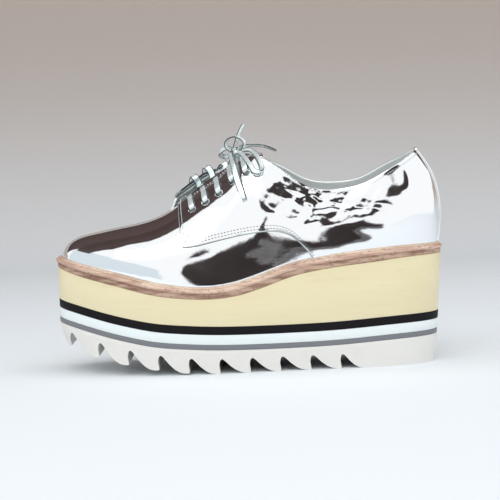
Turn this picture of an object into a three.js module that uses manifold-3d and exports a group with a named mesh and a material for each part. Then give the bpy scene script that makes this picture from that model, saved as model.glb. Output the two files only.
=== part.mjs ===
// Platform lace-up shoe for the left foot, standing empty on its saw-tooth sole.
// Millimetres, +Z up. The toe points along -X, the outer (lateral) side faces -Y,
// and the origin is on the floor under the middle of the shoe.
import * as THREE from 'three';
import { mergeVertices } from 'three/addons/utils/BufferGeometryUtils.js';
import Module from 'manifold-3d';

const wasm = await Module();
wasm.setup();

// Main sizes of the shoe
const LENGTH = 270.9;
const BALL_WIDTH = 94.5;
const INSTEP_HEIGHT = 84;
const COLLAR_WIDTH = 52;

// Heights of the sole stack, from the floor up
const OUTSOLE_HEIGHT = 19.4;
const GREY_LAYER = 3.6;
const WHITE_LAYER = 6.8;
const BLACK_LAYER = 5.6;
const PLATFORM_HEIGHT = 40.2;
const WELT_HEIGHT = 8.8;
const LAYER_GAP = 0.3;

// Edges of the sole stack
const EDGE_INSET = 1.3;
const HEEL_RAKE = 6;
const TOE_UNDERCUT = 6.5;
const WELT_ROUND = 2.6;
const FEATHER_INSET = 4.5;

// Saw teeth of the tread
const TOOTH_DEPTH = 10.2;
const TOOTH_FLAT = 3.6;
const TOOTH_HOOK = 0.9;
const TEETH = 10;
const HEEL_BLOCK = 56.8;
const FIRST_TOOTH = 10.6;
const LAST_STEP = 0.85;
const TOE_SPRING = 22;
const TREAD_OVERRUN = 5;
const ROCKER_START = 0.425;
const TOOTH_PITCH = (LENGTH - FIRST_TOOTH - HEEL_BLOCK) / (TEETH - 1 + LAST_STEP);

// Upper, tongue and insole
const WALL = 1.8;
const OVERLAY = 1.2;
const OVERLAY_GAP = 0.3;
const BACK_STRIP_WIDTH = 11;
const INSOLE_THICKNESS = 3;
const INSOLE_DRAFT = 1.8;
const TONGUE_THICKNESS = 2.4;
const TONGUE_RISE = 12;
const FIT_GAP = 0.35;

// Throat and lacing
const THROAT_START = 0.325;
const THROAT_HALF_WIDTH = 10;
const THROAT_SHIFT = 2;
const QUARTER_THROAT_LEAD = 0.09;
const THROAT_FLARE = 4;
const THROAT_LENGTH = 82;
const EYELET_ROWS = 5;
const EYELET_DIAMETER = 3.2;
const EYELET_SETBACK = 12.5;
const LACE_WIDTH = 4.6;
const LACE_THICKNESS = 1;
const LACE_FLOAT = 0.6;
const EYELET_FIRST = 0.362;
const EYELET_LAST = 0.508;
const BOW_CORD = 2;
const KNOT_SIZE = 7;
const KNOT_GAP = 0.45;
const KNOT_ALONG = 0.495;
const KNOT_AWAY = -3.75;
const KNOT_RISE = 3.6;
const BOW_SPREAD = 20;

const AXIS_Y = new THREE.Vector3(0, 1, 0);

// Sole stack: along is the share of the length from the toe; outsole, platform and
// welt are shares of those heights.
const stackRows = [
  { along: 0.00, outsole: 1.83, platform: 0.560, welt: 0.80 },
  { along: 0.07, outsole: 1.62, platform: 0.515, welt: 0.94 },
  { along: 0.13, outsole: 1.40, platform: 0.515, welt: 0.97 },
  { along: 0.20, outsole: 1.17, platform: 0.500, welt: 0.97 },
  { along: 0.26, outsole: 1.01, platform: 0.475, welt: 0.94 },
  { along: 0.33, outsole: 0.91, platform: 0.455, welt: 0.90 },
  { along: 0.39, outsole: 0.85, platform: 0.460, welt: 0.89 },
  { along: 0.47, outsole: 0.81, platform: 0.525, welt: 0.99 },
  { along: 0.54, outsole: 0.80, platform: 0.665, welt: 1.03 },
  { along: 0.61, outsole: 0.80, platform: 0.820, welt: 1.01 },
  { along: 0.67, outsole: 0.81, platform: 0.895, welt: 0.98 },
  { along: 0.73, outsole: 0.84, platform: 0.935, welt: 1.00 },
  { along: 0.81, outsole: 0.91, platform: 0.955, welt: 1.01 },
  { along: 0.89, outsole: 0.97, platform: 0.985, welt: 0.89 },
  { along: 1.00, outsole: 1.00, platform: 1.000, welt: 0.80 },
];

// Outline of the sole seen from above: centre, lateral and medial half widths are
// shares of the ball width.
const outlineRows = [
  { along: 0.00, centre: 0.035, lateral: 0.43, medial: 0.43 },
  { along: 0.10, centre: 0.022, lateral: 0.465, medial: 0.455 },
  { along: 0.20, centre: 0.008, lateral: 0.495, medial: 0.475 },
  { along: 0.32, centre: 0.00, lateral: 0.508, medial: 0.492 },
  { along: 0.45, centre: 0.00, lateral: 0.48, medial: 0.445 },
  { along: 0.58, centre: 0.00, lateral: 0.435, medial: 0.385 },
  { along: 0.70, centre: 0.00, lateral: 0.402, medial: 0.368 },
  { along: 0.84, centre: 0.00, lateral: 0.395, medial: 0.385 },
  { along: 1.00, centre: 0.00, lateral: 0.40, medial: 0.40 },
];

// Upper: each row is one meridian that climbs from the feather line to the top line.
// along and top are shares of the length, height and medialRise of the instep height,
// collar of the collar width; lean is the outward tilt at the foot in degrees, the two
// handles are shares of the chord and steep is the climb with which the top arrives.
const upperRows = [
  { along: 0.00, top: 0.085, height: 0.236, medialRise: 0.00, collar: 0.50, lean: -9,
    footHandle: 0.36, steep: 0.0, topHandle: 0.44 },
  { along: 0.07, top: 0.120, height: 0.287, medialRise: 0.00, collar: 0.50, lean: -3,
    footHandle: 0.38, steep: 0.0, topHandle: 0.44 },
  { along: 0.13, top: 0.160, height: 0.344, medialRise: 0.00, collar: 0.50, lean: 1,
    footHandle: 0.40, steep: 0.0, topHandle: 0.43 },
  { along: 0.20, top: 0.214, height: 0.423, medialRise: 0.00, collar: 0.50, lean: 3,
    footHandle: 0.41, steep: 0.0, topHandle: 0.42 },
  { along: 0.26, top: 0.269, height: 0.520, medialRise: 0.00, collar: 0.50, lean: 3,
    footHandle: 0.41, steep: 0.0, topHandle: 0.42 },
  { along: 0.33, top: 0.328, height: 0.655, medialRise: 0.01, collar: 0.50, lean: 1,
    footHandle: 0.40, steep: 0.04, topHandle: 0.40 },
  { along: 0.39, top: 0.382, height: 0.790, medialRise: 0.03, collar: 0.50, lean: -2,
    footHandle: 0.38, steep: 0.22, topHandle: 0.38 },
  { along: 0.44, top: 0.430, height: 0.885, medialRise: 0.045, collar: 0.50, lean: -3,
    footHandle: 0.36, steep: 0.42, topHandle: 0.37 },
  { along: 0.49, top: 0.477, height: 0.962, medialRise: 0.045, collar: 0.50, lean: -3,
    footHandle: 0.35, steep: 0.62, topHandle: 0.36 },
  { along: 0.54, top: 0.524, height: 0.945, medialRise: 0.00, collar: 0.50, lean: -2,
    footHandle: 0.35, steep: 0.95, topHandle: 0.36 },
  { along: 0.60, top: 0.580, height: 0.790, medialRise: 0.03, collar: 0.50, lean: 0,
    footHandle: 0.36, steep: 1.7, topHandle: 0.36 },
  { along: 0.67, top: 0.652, height: 0.585, medialRise: 0.05, collar: 0.50, lean: 3,
    footHandle: 0.38, steep: 3.0, topHandle: 0.36 },
  { along: 0.74, top: 0.725, height: 0.515, medialRise: 0.045, collar: 0.50, lean: 5,
    footHandle: 0.40, steep: 3.6, topHandle: 0.36 },
  { along: 0.81, top: 0.795, height: 0.532, medialRise: 0.03, collar: 0.50, lean: 6,
    footHandle: 0.42, steep: 3.0, topHandle: 0.36 },
  { along: 0.89, top: 0.862, height: 0.625, medialRise: 0.03, collar: 0.48, lean: 8,
    footHandle: 0.44, steep: 2.0, topHandle: 0.36 },
  { along: 0.95, top: 0.905, height: 0.700, medialRise: 0.015, collar: 0.46, lean: 8,
    footHandle: 0.45, steep: 1.5, topHandle: 0.37 },
  { along: 1.00, top: 0.934, height: 0.768, medialRise: 0.00, collar: 0.46, lean: 8,
    footHandle: 0.45, steep: 1.26, topHandle: 0.37 },
];

// Lower edge of each quarter, from the top of its front edge round the corner and
// along the curved seam to the welt: along is a share of the length, height of the
// instep height above the lowest point of the seat.
const quarterRows = [
  { along: 0.330, height: 0.740 },
  { along: 0.327, height: 0.640 },
  { along: 0.330, height: 0.480 },
  { along: 0.339, height: 0.332 },
  { along: 0.350, height: 0.338 },
  { along: 0.389, height: 0.382 },
  { along: 0.457, height: 0.418 },
  { along: 0.524, height: 0.439 },
  { along: 0.577, height: 0.433 },
  { along: 0.611, height: 0.390 },
  { along: 0.637, height: 0.310 },
  { along: 0.656, height: 0.233 },
  { along: 0.672, height: 0.120 },
];

// A curve through one column of a table, smooth in slope and bend.
function columnCurve(rows, column, key = 'along') {
  const at = rows.map((row) => row[key]);
  const value = rows.map((row) => row[column]);
  const last = rows.length - 1;
  const bend = new Array(rows.length).fill(0);
  const carry = new Array(rows.length).fill(0);
  for (let i = 1; i < last; i += 1) {
    const before = at[i] - at[i - 1];
    const after = at[i + 1] - at[i];
    const turn = 6 * ((value[i + 1] - value[i]) / after - (value[i] - value[i - 1]) / before);
    const pivot = 2 * (before + after) - before * carry[i - 1];
    carry[i] = after / pivot;
    bend[i] = (turn - before * bend[i - 1]) / pivot;
  }
  for (let i = last - 1; i > 0; i -= 1) {
    bend[i] -= carry[i] * bend[i + 1];
  }
  return (position) => {
    const x = THREE.MathUtils.clamp(position, at[0], at[last]);
    let i = 1;
    while (i < last && x > at[i]) i += 1;
    const span = at[i] - at[i - 1];
    const a = (at[i] - x) / span;
    const b = 1 - a;
    const curved = (a ** 3 - a) * bend[i - 1] + (b ** 3 - b) * bend[i];
    return a * value[i - 1] + b * value[i] + curved * span * span / 6;
  };
}

function columnCurves(rows, columns) {
  return Object.fromEntries(columns.map((name) => [name, columnCurve(rows, name)]));
}

const stack = columnCurves(stackRows, ['outsole', 'platform', 'welt']);
const outline = columnCurves(outlineRows, ['centre', 'lateral', 'medial']);
const form = columnCurves(upperRows, [
  'top', 'height', 'medialRise', 'collar', 'lean', 'footHandle', 'steep', 'topHandle',
]);

const alongAt = (x) => x / LENGTH + 0.5;
const xAt = (along) => (along - 0.5) * LENGTH;
const alongOfTurn = (turn) => (1 - Math.cos(turn)) / 2;
const turnOf = (along) => Math.acos(1 - 2 * along);
const smoothStep = (t) => THREE.MathUtils.smoothstep(t, 0, 1);

// Heights of the faces between the layers of the sole, at a place along the shoe.
const outsoleTop = (x) => OUTSOLE_HEIGHT * stack.outsole(alongAt(x));
const greyTop = (x) => outsoleTop(x) + GREY_LAYER;
const whiteTop = (x) => greyTop(x) + WHITE_LAYER;
const blackTop = (x) => whiteTop(x) + BLACK_LAYER;
const platformTop = (x) => blackTop(x) + PLATFORM_HEIGHT * stack.platform(alongAt(x));
const seat = (x) => platformTop(x) + WELT_HEIGHT * stack.welt(alongAt(x));
const LOWEST_SEAT = seat(xAt(0.39));

// The rocker that the tooth tips follow: flat on the floor, then up to the toe.
function rocker(x) {
  const rise = Math.max(0, ROCKER_START - alongAt(x)) / ROCKER_START;
  return TOE_SPRING * rise ** 1.75;
}

// A point of the sole's outline. turn runs from 0 at the toe to 180 degrees at the
// heel; side is -1 on the lateral and +1 on the medial side.
function outlinePoint(turn, side, inset) {
  const cosine = Math.cos(turn);
  const along = (1 - cosine) / 2;
  const half = side < 0 ? outline.lateral(along) : outline.medial(along);
  const round = Math.sin(turn) * Math.sqrt(1 + cosine ** 2 + cosine ** 4);
  const x = (along - 0.5) * (LENGTH - 2 * inset);
  const y = outline.centre(along) * BALL_WIDTH + side * (half * BALL_WIDTH - inset) * round;
  return new THREE.Vector2(x, y);
}

// A closed skin gathered from triangles; shared corners are welded by their place.
class Skin {
  constructor() {
    this.corners = [];
  }

  triangle(a, b, c) {
    this.corners.push(a, b, c);
  }

  quad(a, b, c, d) {
    this.triangle(a, b, c);
    this.triangle(a, c, d);
  }

  geometry() {
    const kept = [];
    for (let i = 0; i < this.corners.length; i += 3) {
      const [a, b, c] = this.corners.slice(i, i + 3);
      const thin = a.distanceTo(b) < 1e-3 || b.distanceTo(c) < 1e-3 || c.distanceTo(a) < 1e-3;
      if (!thin) kept.push(a, b, c);
    }
    return mergeVertices(new THREE.BufferGeometry().setFromPoints(kept), 1e-3);
  }
}

function toSolid(geometry) {
  const plain = geometry.clone();
  plain.deleteAttribute('normal');
  plain.deleteAttribute('uv');
  const welded = mergeVertices(plain, 1e-4);
  return new wasm.Manifold(new wasm.Mesh({
    numProp: 3,
    vertProperties: new Float32Array(welded.attributes.position.array),
    triVerts: new Uint32Array(welded.index.array),
  }));
}

function fromSolid(solid) {
  const mesh = solid.getMesh();
  const geometry = new THREE.BufferGeometry();
  geometry.setAttribute('position', new THREE.BufferAttribute(mesh.vertProperties, 3));
  geometry.setIndex(new THREE.BufferAttribute(mesh.triVerts, 1));
  return geometry;
}

// A layer of the sole from levels listed upwards, each with its height over the
// length, its inset from the outline and how far its toe and heel lean in.
const SOLE_STATIONS = 30;

function layer(levels) {
  const rings = levels.map((level) => {
    const pairs = [];
    for (let k = 0; k <= SOLE_STATIONS; k += 1) {
      const turn = Math.PI * k / SOLE_STATIONS;
      pairs.push([-1, 1].map((side) => {
        const flat = outlinePoint(turn, side, level.inset);
        const depth = 1 - level.height(flat.x) / seat(flat.x);
        const heelShare = smoothStep(2 * alongAt(flat.x) - 1);
        const toeShare = smoothStep(1 - 5 * alongAt(flat.x));
        const x = flat.x - HEEL_RAKE * heelShare * Math.max(0, depth) ** 1.6
          + (level.toeLean ?? 0) * toeShare;
        return new THREE.Vector3(x, flat.y, level.height(x));
      }));
    }
    return pairs;
  });
  const skin = new Skin();
  const bottom = rings[0];
  const top = rings[rings.length - 1];
  for (let k = 0; k < SOLE_STATIONS; k += 1) {
    skin.quad(bottom[k][0], bottom[k][1], bottom[k + 1][1], bottom[k + 1][0]);
    skin.quad(top[k][0], top[k + 1][0], top[k + 1][1], top[k][1]);
    for (let i = 0; i + 1 < rings.length; i += 1) {
      const low = rings[i];
      const high = rings[i + 1];
      skin.quad(low[k][0], low[k + 1][0], high[k + 1][0], high[k][0]);
      skin.quad(low[k + 1][1], low[k][1], high[k][1], high[k + 1][1]);
    }
  }
  return skin.geometry();
}

const raised = (height) => (x) => height(x) + LAYER_GAP;

function flatLayer(bottom, top) {
  return layer([
    { height: raised(bottom), inset: EDGE_INSET },
    { height: top, inset: EDGE_INSET },
  ]);
}

// The side view of the tread: hooked teeth with flat tips, cut from a block whose
// top lies above the outsole.
function treadShape() {
  const heel = LENGTH / 2;
  const firstTip = FIRST_TOOTH - heel;
  const shape = new THREE.Shape();
  const end = heel + TREAD_OVERRUN;
  const ceiling = outsoleTop(-heel) + 2 * TREAD_OVERRUN;
  shape.moveTo(end, ceiling);
  shape.lineTo(-end, ceiling);
  shape.lineTo(-end, rocker(firstTip) + 0.4 * TREAD_OVERRUN);
  for (let i = 0; i < TEETH; i += 1) {
    const tip = firstTip + i * TOOTH_PITCH;
    const floor = rocker(tip);
    const root = floor + TOOTH_DEPTH;
    const next = tip + TOOTH_PITCH * (i + 1 < TEETH ? 1 : LAST_STEP);
    const nextFloor = rocker(next);
    const drop = root - nextFloor;
    const run = next - TOOTH_FLAT - tip;
    shape.lineTo(tip - TOOTH_FLAT, floor);
    shape.lineTo(tip, floor);
    shape.lineTo(tip - TOOTH_HOOK, floor + 0.55 * TOOTH_DEPTH);
    shape.lineTo(tip - 0.3 * TOOTH_HOOK, floor + 0.88 * TOOTH_DEPTH);
    shape.lineTo(tip + 0.06 * run, root);
    shape.lineTo(tip + 0.16 * run, root - 0.1 * drop);
    shape.lineTo(tip + 0.40 * run, root - 0.50 * drop);
    shape.lineTo(tip + 0.62 * run, root - 0.78 * drop);
    shape.lineTo(tip + 0.82 * run, root - 0.94 * drop);
    shape.lineTo(tip + run, nextFloor);
  }
  shape.lineTo(end, 0);
  shape.closePath();
  return shape;
}

// Extrudes a side-view shape across the shoe.
function sidePrism(shape, from, to) {
  const geometry = new THREE.ExtrudeGeometry(shape, { depth: to - from, bevelEnabled: false });
  geometry.rotateX(Math.PI / 2);
  geometry.translate(0, to, 0);
  return toSolid(geometry);
}

function outsole() {
  const below = (share) => (x) => outsoleTop(x) * (1 - share) - 6 * share;
  const block = layer([
    { height: below(1), inset: EDGE_INSET + 0.6, toeLean: 2.4 * TOE_UNDERCUT },
    { height: below(0.6), inset: EDGE_INSET + 0.4, toeLean: 1.25 * TOE_UNDERCUT },
    { height: below(0.25), inset: EDGE_INSET + 0.2, toeLean: 0.4 * TOE_UNDERCUT },
    { height: outsoleTop, inset: EDGE_INSET },
  ]);
  return fromSolid(toSolid(block).intersect(sidePrism(treadShape(), -BALL_WIDTH, BALL_WIDTH)));
}

function welt() {
  const share = (part) => (x) => platformTop(x) + LAYER_GAP
    + (seat(x) - platformTop(x) - LAYER_GAP) * part;
  return layer([
    { height: share(0), inset: EDGE_INSET },
    { height: share(0.22), inset: EDGE_INSET },
    { height: share(0.36), inset: EDGE_INSET * 0.4 },
    { height: share(0.62), inset: 0 },
    { height: share(0.86), inset: WELT_ROUND * 0.35 },
    { height: share(1), inset: WELT_ROUND },
  ]);
}

// How far the two sides of the top line stand apart, as a share of the collar: none
// over the vamp, all of it beside the ankle.
const COLLAR_OPENS = 0.32;
const COLLAR_FULL = 0.665;
const collarShare = (along) => smoothStep((along - COLLAR_OPENS) / (COLLAR_FULL - COLLAR_OPENS));

// One point of the upper's form, before any thickness. climb runs from 0 at the
// feather line to 1 at the top line.
function formPoint(turn, side, climb) {
  const along = alongOfTurn(turn);
  const flat = outlinePoint(turn, side, FEATHER_INSET);
  const foot = new THREE.Vector3(flat.x, flat.y, seat(flat.x));
  const cosine = Math.cos(turn);
  const round = Math.sin(turn) * Math.sqrt(1 + cosine ** 2 + cosine ** 4);
  const spread = collarShare(along) * form.collar(along) * COLLAR_WIDTH * round;
  const rise = side < 0 ? 0 : form.medialRise(along) * collarShare(along);
  const topHeight = (share) => seat(xAt(form.top(share)))
    + (form.height(share) + rise) * INSTEP_HEIGHT;
  const top = new THREE.Vector3(
    xAt(form.top(along)),
    outline.centre(along) * BALL_WIDTH + side * spread,
    topHeight(along),
  );
  const step = 0.004;
  const from = Math.max(0, along - step);
  const slope = (topHeight(along + step) - topHeight(from))
    / (xAt(form.top(along + step)) - xAt(form.top(from)));
  const across = new THREE.Vector3(top.x - foot.x, top.y - foot.y, 0).normalize();
  const arrive = across.clone();
  arrive.z = across.x * slope * (1 - collarShare(along)) + form.steep(along);
  arrive.normalize();
  const chord = foot.distanceTo(top);
  const lean = THREE.MathUtils.degToRad(form.lean(along));
  const leave = new THREE.Vector3(
    -across.x * Math.sin(lean),
    -across.y * Math.sin(lean),
    Math.cos(lean),
  );
  const first = foot.clone().addScaledVector(leave, chord * form.footHandle(along));
  const second = top.clone().addScaledVector(arrive, -chord * form.topHandle(along));
  return new THREE.CubicBezierCurve3(foot, first, second, top).getPoint(climb);
}

// The outward direction of the form at a point.
function formNormal(turn, side, climb) {
  const step = 2e-3;
  const closed = collarShare(alongOfTurn(turn)) === 0;
  if (climb > 1 - 1e-6 && closed) {
    const ahead = formPoint(turn + step, -1, 1);
    const behind = formPoint(Math.max(0, turn - step), -1, 1);
    const ridge = ahead.sub(behind);
    ridge.y = 0;
    return new THREE.Vector3(-ridge.z, 0, ridge.x).normalize();
  }
  if (turn < step || turn > Math.PI - step) {
    const inner = formPoint(turn, side, Math.min(1, climb + step));
    inner.sub(formPoint(turn, side, Math.max(0, climb - step)));
    const heading = turn < step ? 1 : -1;
    return new THREE.Vector3(-inner.z, 0, inner.x).multiplyScalar(heading).normalize();
  }
  const alongStep = formPoint(turn + step, side, climb).sub(formPoint(turn - step, side, climb));
  const climbStep = formPoint(turn, side, Math.min(1, climb + step))
    .sub(formPoint(turn, side, Math.max(0, climb - step)));
  return alongStep.cross(climbStep).multiplyScalar(-side).normalize();
}

// A point at a distance outside the form, standing clear of the seat at its foot.
function skinPoint(turn, side, climb, offset) {
  const point = formPoint(turn, side, climb);
  point.addScaledVector(formNormal(turn, side, climb), offset);
  if (climb === 0) point.z = seat(point.x) + LAYER_GAP;
  return point;
}

// The wall of the upper between two offsets, as one hollow skin round the whole foot.
const UPPER_TURNS = 34;
const UPPER_CLIMBS = 10;

function upperShell() {
  const skin = new Skin();
  const row = (side, k, offset) => {
    const points = [];
    for (let j = 0; j <= UPPER_CLIMBS; j += 1) {
      points.push(skinPoint(Math.PI * k / UPPER_TURNS, side, j / UPPER_CLIMBS, offset));
    }
    return points;
  };
  for (const side of [-1, 1]) {
    for (let k = 0; k < UPPER_TURNS; k += 1) {
      const out = [row(side, k, 0), row(side, k + 1, 0)];
      const inn = [row(side, k, -WALL), row(side, k + 1, -WALL)];
      const quad = side < 0
        ? (a, b, c, d) => skin.quad(a, b, c, d)
        : (a, b, c, d) => skin.quad(d, c, b, a);
      for (let j = 0; j < UPPER_CLIMBS; j += 1) {
        quad(out[0][j], out[1][j], out[1][j + 1], out[0][j + 1]);
        quad(inn[0][j], inn[0][j + 1], inn[1][j + 1], inn[1][j]);
      }
      quad(out[1][0], out[0][0], inn[0][0], inn[1][0]);
      const open = collarShare(alongOfTurn(Math.PI * (k + 1) / UPPER_TURNS)) > 0;
      const top = UPPER_CLIMBS;
      if (open) quad(out[0][top], out[1][top], inn[1][top], inn[0][top]);
    }
  }
  return toSolid(skin.geometry());
}

// The throat slot from above: round in front, slightly wider towards the ankle, and
// shifted towards the lateral side.
const THROAT_TALL = 1.6 * INSTEP_HEIGHT;

function throatPrism(start) {
  const from = xAt(start);
  const wide = THROAT_HALF_WIDTH;
  const shape = new THREE.Shape();
  shape.moveTo(from + wide, wide);
  shape.absarc(from + wide, 0, wide, Math.PI / 2, Math.PI * 1.5, false);
  shape.lineTo(from + THROAT_LENGTH, -wide - THROAT_FLARE);
  shape.lineTo(from + THROAT_LENGTH, wide + THROAT_FLARE);
  shape.closePath();
  const geometry = new THREE.ExtrudeGeometry(shape, {
    depth: THROAT_TALL, bevelEnabled: false, curveSegments: 5,
  });
  geometry.translate(0, -THROAT_SHIFT, LOWEST_SEAT + 0.2 * THROAT_TALL);
  return toSolid(geometry);
}

// A slab of the form between two offsets, on the same meridians as the upper's wall,
// from a share of the length to a last turn near the heel.
function patch(side, fromAlong, lastTurn, inner, outer) {
  const turns = [];
  for (let k = 0; k < UPPER_TURNS; k += 1) {
    const turn = Math.PI * k / UPPER_TURNS;
    if (alongOfTurn(turn) >= fromAlong && turn < lastTurn - 0.03) turns.push(turn);
  }
  turns.push(lastTurn);
  const skin = new Skin();
  const column = (offset) => turns.map((turn) => {
    const points = [];
    for (let j = 0; j <= UPPER_CLIMBS; j += 1) {
      points.push(skinPoint(turn, side, j / UPPER_CLIMBS, offset));
    }
    return points;
  });
  const out = column(outer);
  const inn = column(inner);
  const quad = side < 0
    ? (a, b, c, d) => skin.quad(a, b, c, d)
    : (a, b, c, d) => skin.quad(d, c, b, a);
  const top = UPPER_CLIMBS;
  const end = turns.length - 1;
  for (let i = 0; i < end; i += 1) {
    for (let j = 0; j < top; j += 1) {
      quad(out[i][j], out[i + 1][j], out[i + 1][j + 1], out[i][j + 1]);
      quad(inn[i][j], inn[i][j + 1], inn[i + 1][j + 1], inn[i + 1][j]);
    }
    quad(out[i + 1][0], out[i][0], inn[i][0], inn[i + 1][0]);
    quad(out[i][top], out[i + 1][top], inn[i + 1][top], inn[i][top]);
  }
  for (let j = 0; j < top; j += 1) {
    quad(out[0][j], out[0][j + 1], inn[0][j + 1], inn[0][j]);
    quad(out[end][j + 1], out[end][j], inn[end][j], inn[end][j + 1]);
  }
  return toSolid(skin.geometry());
}

// The quarter's region seen from the side, open to the back and top.
function quarterPrism(side) {
  const shape = new THREE.Shape();
  const spot = (row) => [
    xAt(row.along),
    LOWEST_SEAT + row.height * INSTEP_HEIGHT,
  ];
  shape.moveTo(LENGTH, 0);
  shape.lineTo(LENGTH, LOWEST_SEAT + 2 * INSTEP_HEIGHT);
  shape.lineTo(xAt(quarterRows[0].along), LOWEST_SEAT + 2 * INSTEP_HEIGHT);
  shape.lineTo(...spot(quarterRows[0]));
  shape.splineThru(quarterRows.slice(1).map((row) => new THREE.Vector2(...spot(row))));
  shape.lineTo(xAt(quarterRows[quarterRows.length - 1].along), 0);
  shape.closePath();
  const reach = BALL_WIDTH;
  return side < 0 ? sidePrism(thinned(shape), -reach, 0) : sidePrism(thinned(shape), 0, reach);
}

// The same shape with its spline taken in short straight steps.
function thinned(shape) {
  return new THREE.Shape(shape.getPoints(2));
}

// The turn that one millimetre across the back of the heel takes.
const BACK_TURN = 1 / (0.7 * BALL_WIDTH);
const QUARTER_START = 0.28;

function quarter(side) {
  const lastTurn = Math.PI - (BACK_STRIP_WIDTH / 2 + FIT_GAP) * BACK_TURN;
  const slab = patch(side, QUARTER_START, lastTurn, OVERLAY_GAP, OVERLAY_GAP + OVERLAY);
  const slot = throatPrism(THROAT_START - QUARTER_THROAT_LEAD);
  return slab.intersect(quarterPrism(side)).subtract(slot);
}

function backStrip() {
  const skin = new Skin();
  const climbs = UPPER_CLIMBS;
  const halves = [-1, -0.5, 0, 0.5, 1];
  const inner = OVERLAY_GAP;
  const outer = OVERLAY_GAP + 2 * OVERLAY;
  const point = (share, j, offset) => {
    const side = share < 0 ? -1 : 1;
    const turn = Math.PI - Math.abs(share) * (BACK_STRIP_WIDTH / 2) * BACK_TURN;
    return skinPoint(turn, side, j / climbs, offset);
  };
  for (let h = 0; h + 1 < halves.length; h += 1) {
    const a = halves[h];
    const b = halves[h + 1];
    for (let j = 0; j < climbs; j += 1) {
      skin.quad(point(a, j, outer), point(b, j, outer), point(b, j + 1, outer), point(a, j + 1, outer));
      skin.quad(point(b, j, inner), point(a, j, inner), point(a, j + 1, inner), point(b, j + 1, inner));
    }
    skin.quad(point(b, 0, outer), point(a, 0, outer), point(a, 0, inner), point(b, 0, inner));
    skin.quad(point(a, climbs, outer), point(b, climbs, outer),
      point(b, climbs, inner), point(a, climbs, inner));
  }
  for (let j = 0; j < climbs; j += 1) {
    skin.quad(point(-1, j, outer), point(-1, j + 1, outer), point(-1, j + 1, inner), point(-1, j, inner));
    skin.quad(point(1, j + 1, outer), point(1, j, outer), point(1, j, inner), point(1, j + 1, inner));
  }
  return skin.geometry();
}

function insole() {
  const edge = FEATHER_INSET + WALL + FIT_GAP;
  return layer([
    { height: (x) => seat(x) + LAYER_GAP, inset: edge },
    { height: (x) => seat(x) + LAYER_GAP + INSOLE_THICKNESS, inset: edge + INSOLE_DRAFT },
  ]);
}

// A point over the throat at a distance from the middle line: on the form where it
// reaches that far in, and else on the arch that bridges its two top lines.
const THROAT_CLIMBS = 24;

function archCurve(turn, offset) {
  const ends = [-1, 1].map((side) => skinPoint(turn, side, 1, offset));
  const gap = ends[0].distanceTo(ends[1]);
  const handles = [-1, 1].map((side, i) => {
    const below = skinPoint(turn, side, 0.96, offset);
    return ends[i].clone().addScaledVector(ends[i].clone().sub(below).normalize(), 0.18 * gap);
  });
  return new THREE.CubicBezierCurve3(ends[0], handles[0], handles[1], ends[1]);
}

function throatPoint(turn, away, offset) {
  const side = away < 0 ? -1 : 1;
  const middle = outline.centre(alongOfTurn(turn)) * BALL_WIDTH;
  const topAway = Math.abs(skinPoint(turn, side, 1, offset).y - middle);
  if (Math.abs(away) < topAway) {
    return archCurve(turn, offset).getPoint(0.5 + 0.5 * away / topAway);
  }
  let low = 0.3;
  let high = 1;
  for (let i = 0; i < THROAT_CLIMBS; i += 1) {
    const climb = (low + high) / 2;
    const reach = Math.abs(skinPoint(turn, side, climb, offset).y - middle);
    if (reach > Math.abs(away)) low = climb;
    else high = climb;
  }
  return skinPoint(turn, side, high, offset);
}

// The tongue follows the inside of the upper's wall and bridges the throat.
const TONGUE_ROOT = 0.31;
const TONGUE_NECK = 0.51;
const TONGUE_WING = 0.8;
const TONGUE_TILT = 0.7;
const TONGUE_TAPER = 0.3;
const TONGUE_ROUND = 0.55;

function tongue() {
  const section = (k, offset) => {
    const turn = Math.PI * k / UPPER_TURNS;
    const wing = [];
    for (let j = Math.round(TONGUE_WING * UPPER_CLIMBS); j <= UPPER_CLIMBS; j += 1) {
      wing.push(j / UPPER_CLIMBS);
    }
    const arch = archCurve(turn, offset);
    return [
      ...wing.map((climb) => skinPoint(turn, -1, climb, offset)),
      ...[0.25, 0.5, 0.75].map((share) => arch.getPoint(share)),
      ...wing.reverse().map((climb) => skinPoint(turn, 1, climb, offset)),
    ];
  };
  const surface = (offset) => {
    const sections = [];
    for (let k = 0; k < UPPER_TURNS; k += 1) {
      const along = alongOfTurn(Math.PI * k / UPPER_TURNS);
      if (along >= TONGUE_ROOT && along <= TONGUE_NECK) sections.push(section(k, offset));
    }
    const last = sections[sections.length - 1];
    const before = sections[sections.length - 2];
    const middle = (last.length - 1) / 2;
    const heading = last[middle].clone().sub(before[middle]).normalize();
    heading.z *= TONGUE_TILT;
    sections.push(last.map((point, i) => {
      const edge = Math.abs(i - middle) / middle;
      const rise = TONGUE_RISE * (1 - TONGUE_ROUND * edge ** 2);
      const end = point.clone().addScaledVector(heading, rise);
      end.y *= 1 - TONGUE_TAPER * edge;
      return end;
    }));
    return sections;
  };
  const out = surface(-WALL - FIT_GAP);
  const inn = surface(-WALL - FIT_GAP - TONGUE_THICKNESS);
  const rows = out.length - 1;
  const columns = out[0].length - 1;
  const skin = new Skin();
  for (let i = 0; i < rows; i += 1) {
    for (let j = 0; j < columns; j += 1) {
      skin.quad(out[i][j], out[i + 1][j], out[i + 1][j + 1], out[i][j + 1]);
      skin.quad(inn[i][j], inn[i][j + 1], inn[i + 1][j + 1], inn[i + 1][j]);
    }
    skin.quad(out[i + 1][0], out[i][0], inn[i][0], inn[i + 1][0]);
    skin.quad(out[i][columns], out[i + 1][columns], inn[i + 1][columns], inn[i][columns]);
  }
  for (let j = 0; j < columns; j += 1) {
    skin.quad(out[0][j], out[0][j + 1], inn[0][j + 1], inn[0][j]);
    skin.quad(out[rows][j + 1], out[rows][j], inn[rows][j], inn[rows][j + 1]);
  }
  return skin.geometry();
}

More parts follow.
